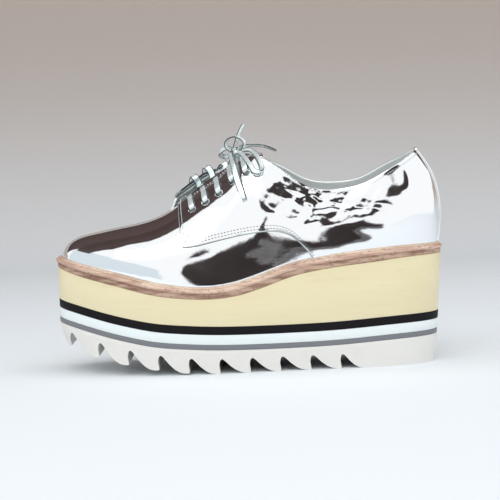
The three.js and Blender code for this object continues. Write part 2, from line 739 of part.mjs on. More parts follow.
// Eyelets: evenly spaced along the throat, each at one setback from the facing's edge.
const throatHalf = (x, side) => THROAT_HALF_WIDTH - side * THROAT_SHIFT
  + THROAT_FLARE * (x - xAt(THROAT_START) - THROAT_HALF_WIDTH) / (THROAT_LENGTH - THROAT_HALF_WIDTH);
const EYELET_STEP = 0.004;
const eyeletTurn = (row) => turnOf(
  THREE.MathUtils.lerp(EYELET_FIRST, EYELET_LAST, row / (EYELET_ROWS - 1)),
);

function edgeAway(turn, side) {
  return throatHalf(formPoint(turn, -1, 1).x, side);
}

function eyelet(row, side) {
  const turn = eyeletTurn(row);
  const edge = throatPoint(turn, side * edgeAway(turn, side), 0);
  let climb = 1;
  let point = formPoint(turn, side, climb);
  while (point.distanceTo(edge) < EYELET_SETBACK || Math.abs(point.y) < edgeAway(turn, side)) {
    climb -= EYELET_STEP;
    point = formPoint(turn, side, climb);
  }
  return { point, normal: formNormal(turn, side, climb) };
}

function eyeletPunch(row, side) {
  const { point, normal } = eyelet(row, side);
  const radius = EYELET_DIAMETER / 2;
  const geometry = new THREE.CylinderGeometry(radius, radius, 4 * (WALL + OVERLAY), 8);
  geometry.applyQuaternion(new THREE.Quaternion().setFromUnitVectors(AXIS_Y, normal));
  geometry.translate(point.x, point.y, point.z);
  return toSolid(geometry);
}

function punched(solid, sides) {
  let result = solid;
  for (let row = 0; row < EYELET_ROWS; row += 1) {
    for (const side of sides) {
      result = result.subtract(eyeletPunch(row, side));
    }
  }
  return result;
}

// A flat ribbon through a list of points, its width kept in line with the throat.
function ribbon(points, width, thickness, heading) {
  const skin = new Skin();
  const corners = points.map((point, i) => {
    const from = points[Math.max(0, i - 1)];
    const to = points[Math.min(points.length - 1, i + 1)];
    const forward = to.clone().sub(from).normalize();
    const wide = heading.clone().addScaledVector(forward, -heading.dot(forward)).normalize();
    const thick = forward.clone().cross(wide).multiplyScalar(thickness / 2);
    wide.multiplyScalar(width / 2);
    const place = (a, b) => point.clone().addScaledVector(wide, a).addScaledVector(thick, b);
    return [place(-1, -1), place(1, -1), place(1, 1), place(-1, 1)];
  });
  const last = corners.length - 1;
  for (let i = 0; i < last; i += 1) {
    for (let j = 0; j < 4; j += 1) {
      const k = (j + 1) % 4;
      skin.quad(corners[i][j], corners[i][k], corners[i + 1][k], corners[i + 1][j]);
    }
  }
  skin.quad(corners[0][3], corners[0][2], corners[0][1], corners[0][0]);
  skin.quad(...corners[last]);
  return toSolid(skin.geometry());
}

// Heights of the lace's middle over the form: outside the quarter, and down in the
// throat where it lies on the tongue.
const LACE_OUTSIDE = OVERLAY_GAP + OVERLAY + 2 * FIT_GAP + LACE_THICKNESS / 2;
const LACE_INSIDE = -WALL + LACE_THICKNESS / 2 + LACE_FLOAT;
const throatHeading = new THREE.Vector3(0.83, 0, 0.56);

// The part of a strand that leaves an eyelet and wraps over the facing's edge.
function wrap(row, side) {
  const turn = eyeletTurn(row);
  const { point, normal } = eyelet(row, side);
  const away = edgeAway(turn, side);
  const clear = away - FIT_GAP - LACE_THICKNESS / 2;
  const half = (away + Math.abs(point.y)) / 2;
  return [
    point.clone().addScaledVector(normal, LACE_OUTSIDE),
    throatPoint(turn, side * half, LACE_OUTSIDE),
    throatPoint(turn, side * (away + 0.8 * LACE_THICKNESS), LACE_OUTSIDE + 0.15 * LACE_THICKNESS),
    throatPoint(turn, side * (clear - 0.25 * LACE_THICKNESS), LACE_OUTSIDE - 0.1 * LACE_THICKNESS),
    throatPoint(turn, side * (clear - 0.5 * LACE_THICKNESS), 0.4 * LACE_THICKNESS),
    throatPoint(turn, side * (clear - 2.2 * LACE_THICKNESS), LACE_INSIDE + 0.4 * LACE_THICKNESS),
  ];
}

function strand(fromRow, fromSide, toRow) {
  const points = wrap(fromRow, fromSide);
  const from = eyeletTurn(fromRow);
  const to = eyeletTurn(toRow);
  const reach = edgeAway(to, -fromSide) - FIT_GAP - 2 * LACE_THICKNESS;
  const start = edgeAway(from, fromSide) - FIT_GAP - 4 * LACE_THICKNESS;
  for (const share of [0.12, 0.36, 0.64, 0.88, 1]) {
    const turn = THREE.MathUtils.lerp(from, to, share);
    const away = THREE.MathUtils.lerp(fromSide * start, -fromSide * reach, share);
    points.push(throatPoint(turn, away, LACE_INSIDE));
  }
  return ribbon(points, LACE_WIDTH, LACE_THICKNESS, throatHeading);
}

function laceCrossings() {
  const bar = (side) => {
    const points = wrap(0, side);
    const turn = eyeletTurn(0);
    for (const away of [3 * LACE_THICKNESS, -LACE_THICKNESS]) {
      points.push(throatPoint(turn, side * away, LACE_INSIDE));
    }
    return ribbon(points, LACE_WIDTH, LACE_THICKNESS, throatHeading);
  };
  let joined = bar(-1).add(bar(1));
  for (let row = 1; row < EYELET_ROWS; row += 1) {
    for (const side of [-1, 1]) {
      joined = joined.add(strand(row, side, row - 1));
    }
  }
  return fromSolid(joined);
}

// The bow, as round cords that leave the knot with a small gap. The routes are chosen
// by hand, as shares of the bow's spread from the knot's middle; leaves and returns are
// the directions in which a cord meets the knot.
const KNOT_SHARES = new THREE.Vector3(1.1, 1, 0.85);
const knotCentre = throatPoint(turnOf(KNOT_ALONG), KNOT_AWAY, KNOT_RISE);
const bowRoutes = [
  { name: 'lace_ring', leaves: [-1, -0.2, 0.3], returns: [1, 0.1, 0.8], points: [
    [-0.335, -0.1, 0.25], [-0.245, -0.12, 0.48], [0.015, -0.13, 0.57], [0.275, -0.12, 0.47],
    [0.405, -0.1, 0.29],
  ] },
  { name: 'lace_loop_near', leaves: [1, -0.7, 0.1], returns: [0.62, -1, 0.2], points: [
    [0.455, -0.3, 0.12], [0.635, -0.7, 0.04], [0.725, -1.03, -0.15], [0.835, -1.28, -0.49],
    [0.865, -1.41, -0.68], [0.715, -1.42, -0.72], [0.555, -1.3, -0.53], [0.445, -1.06, -0.21],
    [0.385, -0.73, 0.05], [0.255, -0.45, 0.11],
  ] },
  { name: 'lace_loop_far', leaves: [-0.7, 0.7, 0.25], returns: [0.15, 1, 0.35], points: [
    [-0.225, 0.525, 0.2], [-0.425, 0.85, 0.19], [-0.525, 1.125, -0.08], [-0.375, 1.175, -0.19],
    [-0.2, 0.925, 0.02], [-0.005, 0.575, 0.15],
  ] },
  { name: 'lace_end_up', leaves: [-0.1, 0.15, 1], points: [
    [0.115, 0.07, 0.47], [0.215, 0.11, 0.75], [0.33, 0.15, 1.02],
  ] },
  { name: 'lace_end_right', leaves: [0.9, 0.9, 0.5], points: [
    [0.495, 0.2, 0.24], [0.795, 0.27, 0.26], [1.145, 0.31, 0.17], [1.475, 0.34, 0.02],
  ] },
  { name: 'lace_end_near', leaves: [-0.3, -1, -0.1], points: [
    [-0.125, -0.6, -0.15], [-0.045, -0.975, -0.4], [0.055, -1.37, -0.88], [0.175, -1.62, -1.25],
    [0.27, -1.75, -1.56],
  ] },
];

// Two points straight out of the knot in a direction, the first at the gap.
function knotExit(direction) {
  const heading = new THREE.Vector3(...direction).normalize();
  const scaled = heading.clone().divide(KNOT_SHARES);
  const reach = KNOT_SIZE / 2 / scaled.length();
  return [KNOT_GAP, KNOT_GAP + BOW_CORD].map(
    (gap) => knotCentre.clone().addScaledVector(heading, reach + gap),
  );
}

function cord(route) {
  const points = knotExit(route.leaves);
  points.push(...route.points.map(
    (share) => knotCentre.clone().addScaledVector(new THREE.Vector3(...share), BOW_SPREAD),
  ));
  if (route.returns) points.push(...knotExit(route.returns).reverse());
  const curve = new THREE.CatmullRomCurve3(points, false, 'centripetal');
  const section = new THREE.Shape();
  section.absarc(0, 0, BOW_CORD / 2, 0, Math.PI * 2, false);
  return new THREE.ExtrudeGeometry(new THREE.Shape(section.getSpacedPoints(8).slice(0, 8)), {
    steps: Math.min(12, Math.round(curve.getLength() / 4)),
    extrudePath: curve,
    bevelEnabled: false,
  });
}

function knot() {
  const geometry = new THREE.SphereGeometry(KNOT_SIZE / 2, 10, 7);
  geometry.scale(...KNOT_SHARES.toArray());
  geometry.translate(knotCentre.x, knotCentre.y, knotCentre.z);
  return mergeVertices(geometry.deleteAttribute('normal').deleteAttribute('uv'), 1e-3);
}

const group = new THREE.Group();

function add(name, geometry, color, roughness, metalness = 0) {
  const material = new THREE.MeshStandardMaterial({ color, roughness, metalness });
  const mesh = new THREE.Mesh(geometry, material);
  mesh.name = name;
  group.add(mesh);
}

add('outsole', outsole(), 0xe4e2de, 0.6);
add('midsole_grey', flatLayer(outsoleTop, greyTop), 0x787a80, 0.6);
add('midsole_white', flatLayer(greyTop, whiteTop), 0xe6eef0, 0.55);
add('midsole_black', flatLayer(whiteTop, blackTop), 0x1e1c20, 0.6);
add('platform', flatLayer(blackTop, platformTop), 0xe8d8aa, 0.45);
add('welt', welt(), 0xc8a088, 0.6);
add('insole', insole(), 0xd8d6d2, 0.8);
add('upper', fromSolid(punched(upperShell().subtract(throatPrism(THROAT_START)), [-1, 1])),
  0xd4d8da, 0.1, 1);
add('quarter_lateral', fromSolid(punched(quarter(-1), [-1])), 0xd8dcde, 0.1, 1);
add('quarter_medial', fromSolid(punched(quarter(1), [1])), 0xd8dcde, 0.1, 1);
add('back_strip', backStrip(), 0xd8dcde, 0.12, 1);
add('tongue', tongue(), 0xc8ccce, 0.2, 1);
add('lace_crossings', laceCrossings(), 0xc4c8ca, 0.3, 1);
add('lace_knot', knot(), 0xc4c8ca, 0.3, 1);
for (const route of bowRoutes) {
  add(route.name, cord(route), 0xc4c8ca, 0.3, 1);
}

export default group;
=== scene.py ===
"""Platform lace-up shoe for the left foot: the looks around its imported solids.

Millimetres in the shape functions, metres in every mesh. The toe points along -X,
the outer (lateral) side faces -Y, and the floor is at z = 0.
"""

import math

import bmesh
import bpy
import numpy as np
from bpy.props import FloatProperty, IntProperty, PointerProperty
from mathutils import Matrix, Vector


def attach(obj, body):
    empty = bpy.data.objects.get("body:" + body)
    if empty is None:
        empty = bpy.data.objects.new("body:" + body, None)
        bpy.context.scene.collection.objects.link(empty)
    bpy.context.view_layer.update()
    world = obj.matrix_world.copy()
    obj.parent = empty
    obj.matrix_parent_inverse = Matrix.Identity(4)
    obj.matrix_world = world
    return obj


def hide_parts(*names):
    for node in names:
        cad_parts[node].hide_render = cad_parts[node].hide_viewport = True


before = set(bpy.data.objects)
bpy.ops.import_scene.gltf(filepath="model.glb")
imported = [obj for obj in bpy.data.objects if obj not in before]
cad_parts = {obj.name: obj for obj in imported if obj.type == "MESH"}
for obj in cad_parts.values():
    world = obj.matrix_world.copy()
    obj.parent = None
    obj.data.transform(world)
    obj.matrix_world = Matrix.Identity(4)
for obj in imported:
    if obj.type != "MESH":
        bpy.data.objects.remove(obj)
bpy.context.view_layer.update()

bl_info = {
    "name": "Platform lace-up shoe",
    "version": (1, 0, 0),
    "blender": (4, 5, 0),
    "location": "View3D > Sidebar > Shoe",
    "description": "Builds the visible pieces of a platform lace-up shoe",
    "category": "Object",
}

MM = 0.001

# Main sizes, as in the part's own source
LENGTH = 270.9
BALL_WIDTH = 94.5
INSTEP_HEIGHT = 84
COLLAR_WIDTH = 52
OUTSOLE_HEIGHT = 19.4
GREY_LAYER = 3.6
WHITE_LAYER = 6.8
BLACK_LAYER = 5.6
PLATFORM_HEIGHT = 40.2
WELT_HEIGHT = 8.8
EDGE_INSET = 1.3
HEEL_RAKE = 6
TOE_UNDERCUT = 6.5
WELT_ROUND = 2.6
FEATHER_INSET = 4.5
TOOTH_DEPTH = 10.2
TOOTH_FLAT = 3.6
TOOTH_HOOK = 0.9
TEETH = 10
HEEL_BLOCK = 56.8
FIRST_TOOTH = 10.6
LAST_STEP = 0.85
TOOTH_PITCH = (LENGTH - FIRST_TOOTH - HEEL_BLOCK) / (TEETH - 1 + LAST_STEP)
TOE_SPRING = 22
ROCKER_START = 0.425
WALL = 1.8
OVERLAY = 1.2
BACK_STRIP_WIDTH = 11
INSOLE_THICKNESS = 3
TONGUE_THICKNESS = 2.4
TONGUE_RISE = 12
THROAT_START = 0.325
THROAT_HALF_WIDTH = 10
THROAT_FLARE = 4
THROAT_LENGTH = 82
THROAT_SHIFT = 2
EYELET_ROWS = 5
EYELET_SETBACK = 12.5
EYELET_FIRST = 0.362
EYELET_LAST = 0.508
LACE_WIDTH = 4.6

# Sizes of the looks alone
LACE_THICKNESS = 1.1
FLAP_LIFT = 6.2
OUTER_FLAP_LIFT = 0.6
FACING_START = 0.29
FACING_END = 0.475
EYELET_VISIBLE = 4.6
EYELET_DROP = 0.022
PUNCH_DEPTH = 12
HOLE_SLOT = 3
WRAP_SLANT = 5.5
OVERLAY_GAP = 0.1
QUARTER_LEAD = 0.09
HEEL_BREADTH = BALL_WIDTH * 0.7
LAYER_GAP = 0.02
TREAD_ROOM = 6

# along, outsole, platform, welt
STACK_ROWS = np.array([
    (0.00, 1.83, 0.560, 0.80), (0.07, 1.62, 0.515, 0.94), (0.13, 1.40, 0.515, 0.97),
    (0.20, 1.17, 0.500, 0.97), (0.26, 1.01, 0.475, 0.94), (0.33, 0.91, 0.455, 0.90),
    (0.39, 0.85, 0.460, 0.89), (0.47, 0.81, 0.525, 0.99), (0.54, 0.80, 0.665, 1.03),
    (0.61, 0.80, 0.820, 1.01), (0.67, 0.81, 0.895, 0.98), (0.73, 0.84, 0.935, 1.00),
    (0.81, 0.91, 0.955, 1.01), (0.89, 0.97, 0.985, 0.89), (1.00, 1.00, 1.000, 0.80),
])

# along, centre, lateral, medial
OUTLINE_ROWS = np.array([
    (0.00, 0.035, 0.43, 0.43), (0.10, 0.022, 0.465, 0.455), (0.20, 0.008, 0.495, 0.475),
    (0.32, 0.00, 0.508, 0.492), (0.45, 0.00, 0.48, 0.445), (0.58, 0.00, 0.435, 0.385),
    (0.70, 0.00, 0.402, 0.368), (0.84, 0.00, 0.395, 0.385), (1.00, 0.00, 0.40, 0.40),
])

# along, top, height, medial rise, collar, lean, foot handle, steep, top handle
UPPER_ROWS = np.array([
    (0.00, 0.085, 0.236, 0.00, 0.50, -9, 0.36, 0.0, 0.44),
    (0.07, 0.120, 0.287, 0.00, 0.50, -3, 0.38, 0.0, 0.44),
    (0.13, 0.160, 0.344, 0.00, 0.50, 1, 0.40, 0.0, 0.43),
    (0.20, 0.214, 0.423, 0.00, 0.50, 3, 0.41, 0.0, 0.42),
    (0.26, 0.269, 0.520, 0.00, 0.50, 3, 0.41, 0.0, 0.42),
    (0.33, 0.328, 0.655, 0.01, 0.50, 1, 0.40, 0.04, 0.40),
    (0.39, 0.382, 0.790, 0.03, 0.50, -2, 0.38, 0.22, 0.38),
    (0.44, 0.430, 0.885, 0.045, 0.50, -3, 0.36, 0.42, 0.37),
    (0.49, 0.477, 0.962, 0.045, 0.50, -3, 0.35, 0.62, 0.36),
    (0.54, 0.524, 0.945, 0.00, 0.50, -2, 0.35, 0.95, 0.36),
    (0.60, 0.580, 0.790, 0.03, 0.50, 0, 0.36, 1.7, 0.36),
    (0.67, 0.652, 0.585, 0.05, 0.50, 3, 0.38, 3.0, 0.36),
    (0.74, 0.725, 0.515, 0.045, 0.50, 5, 0.40, 3.6, 0.36),
    (0.81, 0.795, 0.532, 0.03, 0.50, 6, 0.42, 3.0, 0.36),
    (0.89, 0.862, 0.625, 0.03, 0.48, 8, 0.44, 2.0, 0.36),
    (0.95, 0.905, 0.700, 0.015, 0.46, 8, 0.45, 1.5, 0.37),
    (1.00, 0.934, 0.768, 0.00, 0.46, 8, 0.45, 1.26, 0.37),
])

# Front edge of a quarter from top to corner, then its lower seam: along, height
QUARTER_FRONT = np.array([(0.331, 0.700), (0.327, 0.620), (0.330, 0.480), (0.336, 0.325)])
QUARTER_CORNER = 0.352
QUARTER_SEAM = np.array([
    (0.336, 0.325), (0.350, 0.326), (0.389, 0.350), (0.457, 0.398), (0.524, 0.432),
    (0.577, 0.430), (0.611, 0.388), (0.637, 0.310), (0.656, 0.233), (0.668, 0.160),
])

# Tooth's hollow back from its root: share of the run to the next tip, share of the drop
TOOTH_BACK = [(0.06, 0.0), (0.16, 0.10), (0.40, 0.50), (0.62, 0.78), (0.82, 0.94)]

# Outsole's side from below upwards: share of its depth, extra inset, share of the undercut
OUTSOLE_SIDE = [
    (1, 0.6, 2.4), (0.8, 0.5, 1.8), (0.6, 0.4, 1.25), (0.4, 0.3, 0.75), (0.25, 0.2, 0.4),
    (0.1, 0.1, 0.12),
]

# Creases of the leather, narrow dents: side, x and z of both ends, depth, half width
CREASES = [
    (-1, 16, 124, 40, 112, 0.20, 1.7),
    (-1, 34, 118, 52, 110, 0.18, 1.5),
    (-1, 46, 112, 76, 109, 0.18, 1.5),
    (-1, 28, 96, 62, 108, 0.16, 1.7),
    (-1, 60, 104, 96, 108, 0.14, 1.6),
    (-1, 116, 92, 128, 96, 0.10, 1.8),
    (1, 16, 124, 42, 110, 0.20, 1.8),
    (1, 36, 116, 70, 106, 0.20, 1.8),
    (1, 56, 106, 92, 110, 0.16, 1.6),
]

# Folds of the leather, wide bulges over a hollow: side, x and z of both ends, height,
# half width
FOLDS = [
    (-1, 9.5, 116, -1, 90, 0.9, 9.0),
    (-1, 50, 93, 90, 93, 0.6, 6.5),
    (-1, 104, 142, 106, 116, 1.0, 8.0),
    (-1, 10, 124, 42, 116, 0.38, 7.0),
    (-1, 26, 96, 62, 106, 0.30, 6.0),
    (-1, 52, 108, 96, 109, 0.30, 6.0),
    (-1, -60, 70, 20, 84, 0.23, 9.0),
    (1, 10, 122, 44, 112, 0.30, 7.0),
    (1, 40, 104, 92, 110, 0.30, 6.5),
]

CREASE_BOW = 2.0
CREASE_TAPER = 0.07
# Ridge beside a crease: height as a share of the depth, place and width in half widths
RIDGE_HEIGHT, RIDGE_AWAY, RIDGE_WIDTH = 0.55, 2.4, 1.3
# Fine relief in mm: everywhere, added in the wrinkled area, and its small wrinkles
SOFT_RELIEF, WRINKLE_RELIEF, FINE_RELIEF = 0.03, 0.16, 0.03


# ---------------------------------------------------------------- shape functions

def smooth(t):
    """0 to 1 with level ends."""
    t = np.clip(t, 0.0, 1.0)
    return t * t * (3.0 - 2.0 * t)


def natural_curve(at, values):
    """A curve through values at rising places, smooth in slope and bend."""
    count = len(at)
    bend = np.zeros((count,) + values.shape[1:])
    carry = np.zeros(count)
    for i in range(1, count - 1):
        before, after = at[i] - at[i - 1], at[i + 1] - at[i]
        turn = 6 * ((values[i + 1] - values[i]) / after - (values[i] - values[i - 1]) / before)
        pivot = 2 * (before + after) - before * carry[i - 1]
        carry[i] = after / pivot
        bend[i] = (turn - before * bend[i - 1]) / pivot
    for i in range(count - 2, 0, -1):
        bend[i] -= carry[i] * bend[i + 1]

    def evaluate(place):
        x = np.clip(np.asarray(place, float), at[0], at[-1])
        i = np.clip(np.searchsorted(at, x, side="left"), 1, count - 1)
        span = at[i] - at[i - 1]
        a = (at[i] - x) / span
        b = 1 - a
        if values.ndim > 1:
            a, b, span = a[..., None], b[..., None], span[..., None]
        curved = (a ** 3 - a) * bend[i - 1] + (b ** 3 - b) * bend[i]
        return a * values[i - 1] + b * values[i] + curved * span * span / 6

    return evaluate


def column(rows, index):
    return natural_curve(rows[:, 0], rows[:, index])


stack_outsole, stack_platform, stack_welt = (column(STACK_ROWS, i) for i in (1, 2, 3))
line_centre, line_lateral, line_medial = (column(OUTLINE_ROWS, i) for i in (1, 2, 3))
(form_top, form_height, form_rise, form_collar, form_lean, form_foot_handle, form_steep,
 form_top_handle) = (column(UPPER_ROWS, i) for i in range(1, 9))


def along_at(x):
    return x / LENGTH + 0.5


def x_at(along):
    return (along - 0.5) * LENGTH


def turn_of(along):
    return np.arccos(1 - 2 * np.asarray(along, float))


def along_of(turn):
    return (1 - np.cos(turn)) / 2


def outsole_top(x):
    return OUTSOLE_HEIGHT * stack_outsole(along_at(x))


def grey_top(x):
    return outsole_top(x) + GREY_LAYER


def white_top(x):
    return grey_top(x) + WHITE_LAYER


def black_top(x):
    return white_top(x) + BLACK_LAYER


def platform_top(x):
    return black_top(x) + PLATFORM_HEIGHT * stack_platform(along_at(x))


def seat(x):
    return platform_top(x) + WELT_HEIGHT * stack_welt(along_at(x))


LOWEST_SEAT = float(seat(x_at(0.39)))


def rocker(x):
    rise = np.maximum(0, ROCKER_START - along_at(x)) / ROCKER_START
    return TOE_SPRING * rise ** 1.75


def roundness(turn):
    cosine = np.cos(turn)
    return np.sin(turn) * np.sqrt(1 + cosine ** 2 + cosine ** 4)


def outline_point(turn, side, inset):
    """x and y of the sole's outline; side is -1 lateral and +1 medial."""
    along = along_of(turn)
    half = np.where(side < 0, line_lateral(along), line_medial(along))
    x = (along - 0.5) * (LENGTH - 2 * inset)
    y = line_centre(along) * BALL_WIDTH + side * (half * BALL_WIDTH - inset) * roundness(turn)
    return x, y


def collar_share(along):
    return smooth((along - 0.32) / 0.345)


def unit(v):
    return v / np.maximum(np.linalg.norm(v, axis=-1, keepdims=True), 1e-12)


def form_point(turn, side, climb):
    """Points of the upper's form; climb is 0 at the feather line, 1 at the top line."""
    turn, side, climb = np.broadcast_arrays(
        np.asarray(turn, float), np.asarray(side, float), np.asarray(climb, float))
    along = along_of(turn)
    x, y = outline_point(turn, side, FEATHER_INSET)
    foot = np.stack([x, y, seat(x)], -1)
    share = collar_share(along)
    spread = share * form_collar(along) * COLLAR_WIDTH * roundness(turn)
    rise = np.where(side < 0, 0.0, form_rise(along) * share)

    def top_height(at):
        return seat(x_at(form_top(at))) + (form_height(at) + rise) * INSTEP_HEIGHT

    top_x = x_at(form_top(along))
    top = np.stack([top_x, line_centre(along) * BALL_WIDTH + side * spread,
                    top_height(along)], -1)
    step = 0.004
    low = np.maximum(0, along - step)
    slope = (top_height(along + step) - top_height(low)) / (
        x_at(form_top(along + step)) - x_at(form_top(low)))
    across = top - foot
    across[..., 2] = 0
    across = unit(across)
    arrive = across.copy()
    arrive[..., 2] = across[..., 0] * slope * (1 - share) + form_steep(along)
    arrive = unit(arrive)
    chord = np.linalg.norm(top - foot, axis=-1)
    lean = np.radians(form_lean(along))
    leave = -across * np.sin(lean)[..., None]
    leave[..., 2] = np.cos(lean)
    first = foot + leave * (chord * form_foot_handle(along))[..., None]
    second = top - arrive * (chord * form_top_handle(along))[..., None]
    c = climb[..., None]
    d = 1 - c
    return d ** 3 * foot + 3 * d * d * c * first + 3 * d * c * c * second + c ** 3 * top


def form_normal(turn, side, climb):
    """The outward direction of the form."""
    turn, side, climb = np.broadcast_arrays(
        np.asarray(turn, float), np.asarray(side, float), np.asarray(climb, float))
    step = 2e-3
    along_step = form_point(turn + step, side, climb) - form_point(turn - step, side, climb)
    climb_step = (form_point(turn, side, np.minimum(1, climb + step))
                  - form_point(turn, side, np.maximum(0, climb - step)))
    normal = np.cross(along_step, climb_step) * -side[..., None]
    normal = unit(normal)
    ridge = (climb > 1 - 1e-6) & (collar_share(along_of(turn)) <= 0)
    normal[..., 1] = np.where(ridge, 0.0, normal[..., 1])
    return unit(normal)


def relief(turn, side, climb):
    """Height of creases, folds and soft dents over the plain form."""
    point = form_point(turn, side, climb)
    x, z = point[..., 0], point[..., 2]
    height = np.zeros(x.shape)
    for rows, wide in ((CREASES, False), (FOLDS, True)):
        for crease_side, x0, z0, x1, z1, depth, width in rows:
            run = np.array([x1 - x0, z1 - z0], float)
            size = float(run @ run)
            share = np.clip(((x - x0) * run[0] + (z - z0) * run[1]) / size, 0, 1)
            bow = CREASE_BOW * np.sin(math.pi * share)
            ends = np.hypot(x - x0 - share * run[0], z - z0 - share * run[1])
            lift = ((z - z0) * run[0] - (x - x0) * run[1]) / math.sqrt(size) - bow
            away = np.where((share > 0) & (share < 1), np.abs(lift), ends) / width
            tapered = share * (1 - 2 * CREASE_TAPER) + CREASE_TAPER
            fade = np.sin(math.pi * np.clip(tapered, 0, 1)) ** 0.8
            if wide:
                shape = lift / width * np.exp(-away ** 2)
            else:
                ridge = np.exp(-((away - RIDGE_AWAY) / RIDGE_WIDTH) ** 2)
                shape = RIDGE_HEIGHT * ridge - np.exp(-away ** 2)
            height = height + np.where(side == crease_side, depth * shape * fade, 0.0)
    wrinkled = smooth((x + 8) / 34) * smooth((104 - x) / 30) * smooth((z - 97) / 8)
    soft = SOFT_RELIEF + WRINKLE_RELIEF * wrinkled
    height = height + soft * (
        np.sin(x * 0.19 + z * 0.16 + 0.7 * side) * np.sin(z * 0.25 - x * 0.05 + 1.3)
        + 0.5 * np.sin(x * 0.37 - z * 0.33 + side))
    height = height + FINE_RELIEF * wrinkled * (
        np.sin(x * 0.83 + 1.9 * np.sin(z * 0.31)) * np.sin(z * 0.94 + 1.4 * np.sin(x * 0.27))
        + 0.6 * np.sin(x * 1.31 - z * 0.72 + 1.2 * np.sin(z * 0.45)))
    return height * smooth(climb / 0.08) * smooth((1 - climb) / 0.06)


def facing_lift(turn, side, climb):
    """How far the facings stand up off the tongue, the medial one most."""
    along = along_of(turn)
    reach = smooth((along - FACING_START) / 0.05) * smooth((FACING_END - along) / 0.07)
    lift = np.where(side > 0, FLAP_LIFT, OUTER_FLAP_LIFT)
    return lift * reach * smooth((climb - 0.66) / 0.26)


def skin(turn, side, climb, offset=0.0):
    """Points and outward directions of the leather at a distance over the form."""
    normal = form_normal(turn, side, climb)
    height = relief(turn, side, climb) + facing_lift(turn, side, climb) + offset
    return form_point(turn, side, climb) + normal * height[..., None], normal


def throat_half(x, side, start=THROAT_START):
    """Distance of a facing's edge from the middle line."""
    ahead = x - x_at(start)
    left = np.clip(THROAT_HALF_WIDTH - ahead, 0, THROAT_HALF_WIDTH)
    nose = np.sqrt(np.clip(THROAT_HALF_WIDTH ** 2 - left ** 2, 0, None))
    flare = THROAT_FLARE * np.clip(ahead - THROAT_HALF_WIDTH, 0, None) / (
        THROAT_LENGTH - THROAT_HALF_WIDTH)
    half = nose + flare - side * THROAT_SHIFT * smooth(ahead / THROAT_HALF_WIDTH)
    return half * ((ahead > 0) & (ahead < THROAT_LENGTH))


def edge_climb(turn, side, start=THROAT_START):
    """The climb at which the form meets the throat's slot, or 1 where it doesn't."""
    turn = np.asarray(turn, float)
    middle = line_centre(along_of(turn)) * BALL_WIDTH
    low = np.full(turn.shape, 0.45)
    high = np.ones(turn.shape)

    def outside(climb):
        point = form_point(turn, side, climb)
        return np.abs(point[..., 1] - middle) >= throat_half(point[..., 0], side, start)

    whole = outside(high)
    for _ in range(22):
        mid = (low + high) / 2
        out = outside(mid)
        low = np.where(out, mid, low)
        high = np.where(out, high, mid)
    return np.where(whole, 1.0, low)


def find_place(x, z, side):
    """turn and climb of points given in side view."""
    turns = turn_of(np.linspace(0.2, 0.95, 240))
    climbs = np.linspace(0, 1, 120)
    grid_turn, grid_climb = np.meshgrid(turns, climbs, indexing="ij")
    grid = form_point(grid_turn, side, grid_climb)
    turn = np.empty(len(x))
    climb = np.empty(len(x))
    for i in range(len(x)):
        k = np.argmin((grid[..., 0] - x[i]) ** 2 + (grid[..., 2] - z[i]) ** 2)
        turn[i], climb[i] = grid_turn.flat[k], grid_climb.flat[k]
    step = 1e-3
    for _ in range(8):
        here = form_point(turn, side, climb)
        by_turn = (form_point(turn + step, side, climb) - here) / step
        by_climb = (form_point(turn, side, climb + step) - here) / step
        a, b, c, d = by_turn[:, 0], by_climb[:, 0], by_turn[:, 2], by_climb[:, 2]
        determinant = a * d - b * c
        miss_x, miss_z = x - here[:, 0], z - here[:, 2]
        turn = turn + (d * miss_x - b * miss_z) / determinant
        climb = np.clip(climb + (a * miss_z - c * miss_x) / determinant, 0, 1)
    return turn, climb


# ---------------------------------------------------------------- mesh building

def placed(name, data):
    """An object with the data, in the scene."""
    obj = bpy.data.objects.new(name, data)
    bpy.context.scene.collection.objects.link(obj)
    return obj


def make_object(name, points, faces, materials, zones=None, shade=True, weld=0.0):
    """A mesh piece from points in millimetres; zones gives each face its material."""
    mesh = bpy.data.meshes.new(name)
    mesh.from_pydata([tuple(p) for p in np.asarray(points) * MM], [], faces)
    for material in materials:
        mesh.materials.append(material)
    if zones is not None:
        mesh.polygons.foreach_set("material_index", np.asarray(zones, np.int32))
    if weld:
        edit = bmesh.new()
        edit.from_mesh(mesh)
        bmesh.ops.remove_doubles(edit, verts=edit.verts, dist=weld * MM)
        bmesh.ops.recalc_face_normals(edit, faces=edit.faces)
        edit.to_mesh(mesh)
        edit.free()
    if shade:
        mesh.polygons.foreach_set("use_smooth", [True] * len(mesh.polygons))
    mesh.update()
    return placed(name, mesh)


def grid_faces(rows, columns, offset=0, flip=False):
    index = np.arange(rows * columns).reshape(rows, columns) + offset
    faces = np.stack([index[:-1, :-1], index[1:, :-1], index[1:, 1:], index[:-1, 1:]], -1)
    faces = faces.reshape(-1, 4)
    return faces[:, ::-1] if flip else faces


def welded(points, normals, faces):
    """The same surface with points in one place joined, and faces that lose an edge."""
    key = np.round(points / 2e-3).astype(np.int64)
    _, first, back = np.unique(key, axis=0, return_index=True, return_inverse=True)
    back = back.reshape(-1)
    kept = []
    for face in back[faces]:
        ring = [int(v) for i, v in enumerate(face) if v != face[i - 1]]
        if len(set(ring)) > 2:
            kept.append(ring)
    return points[first], normals[first], kept


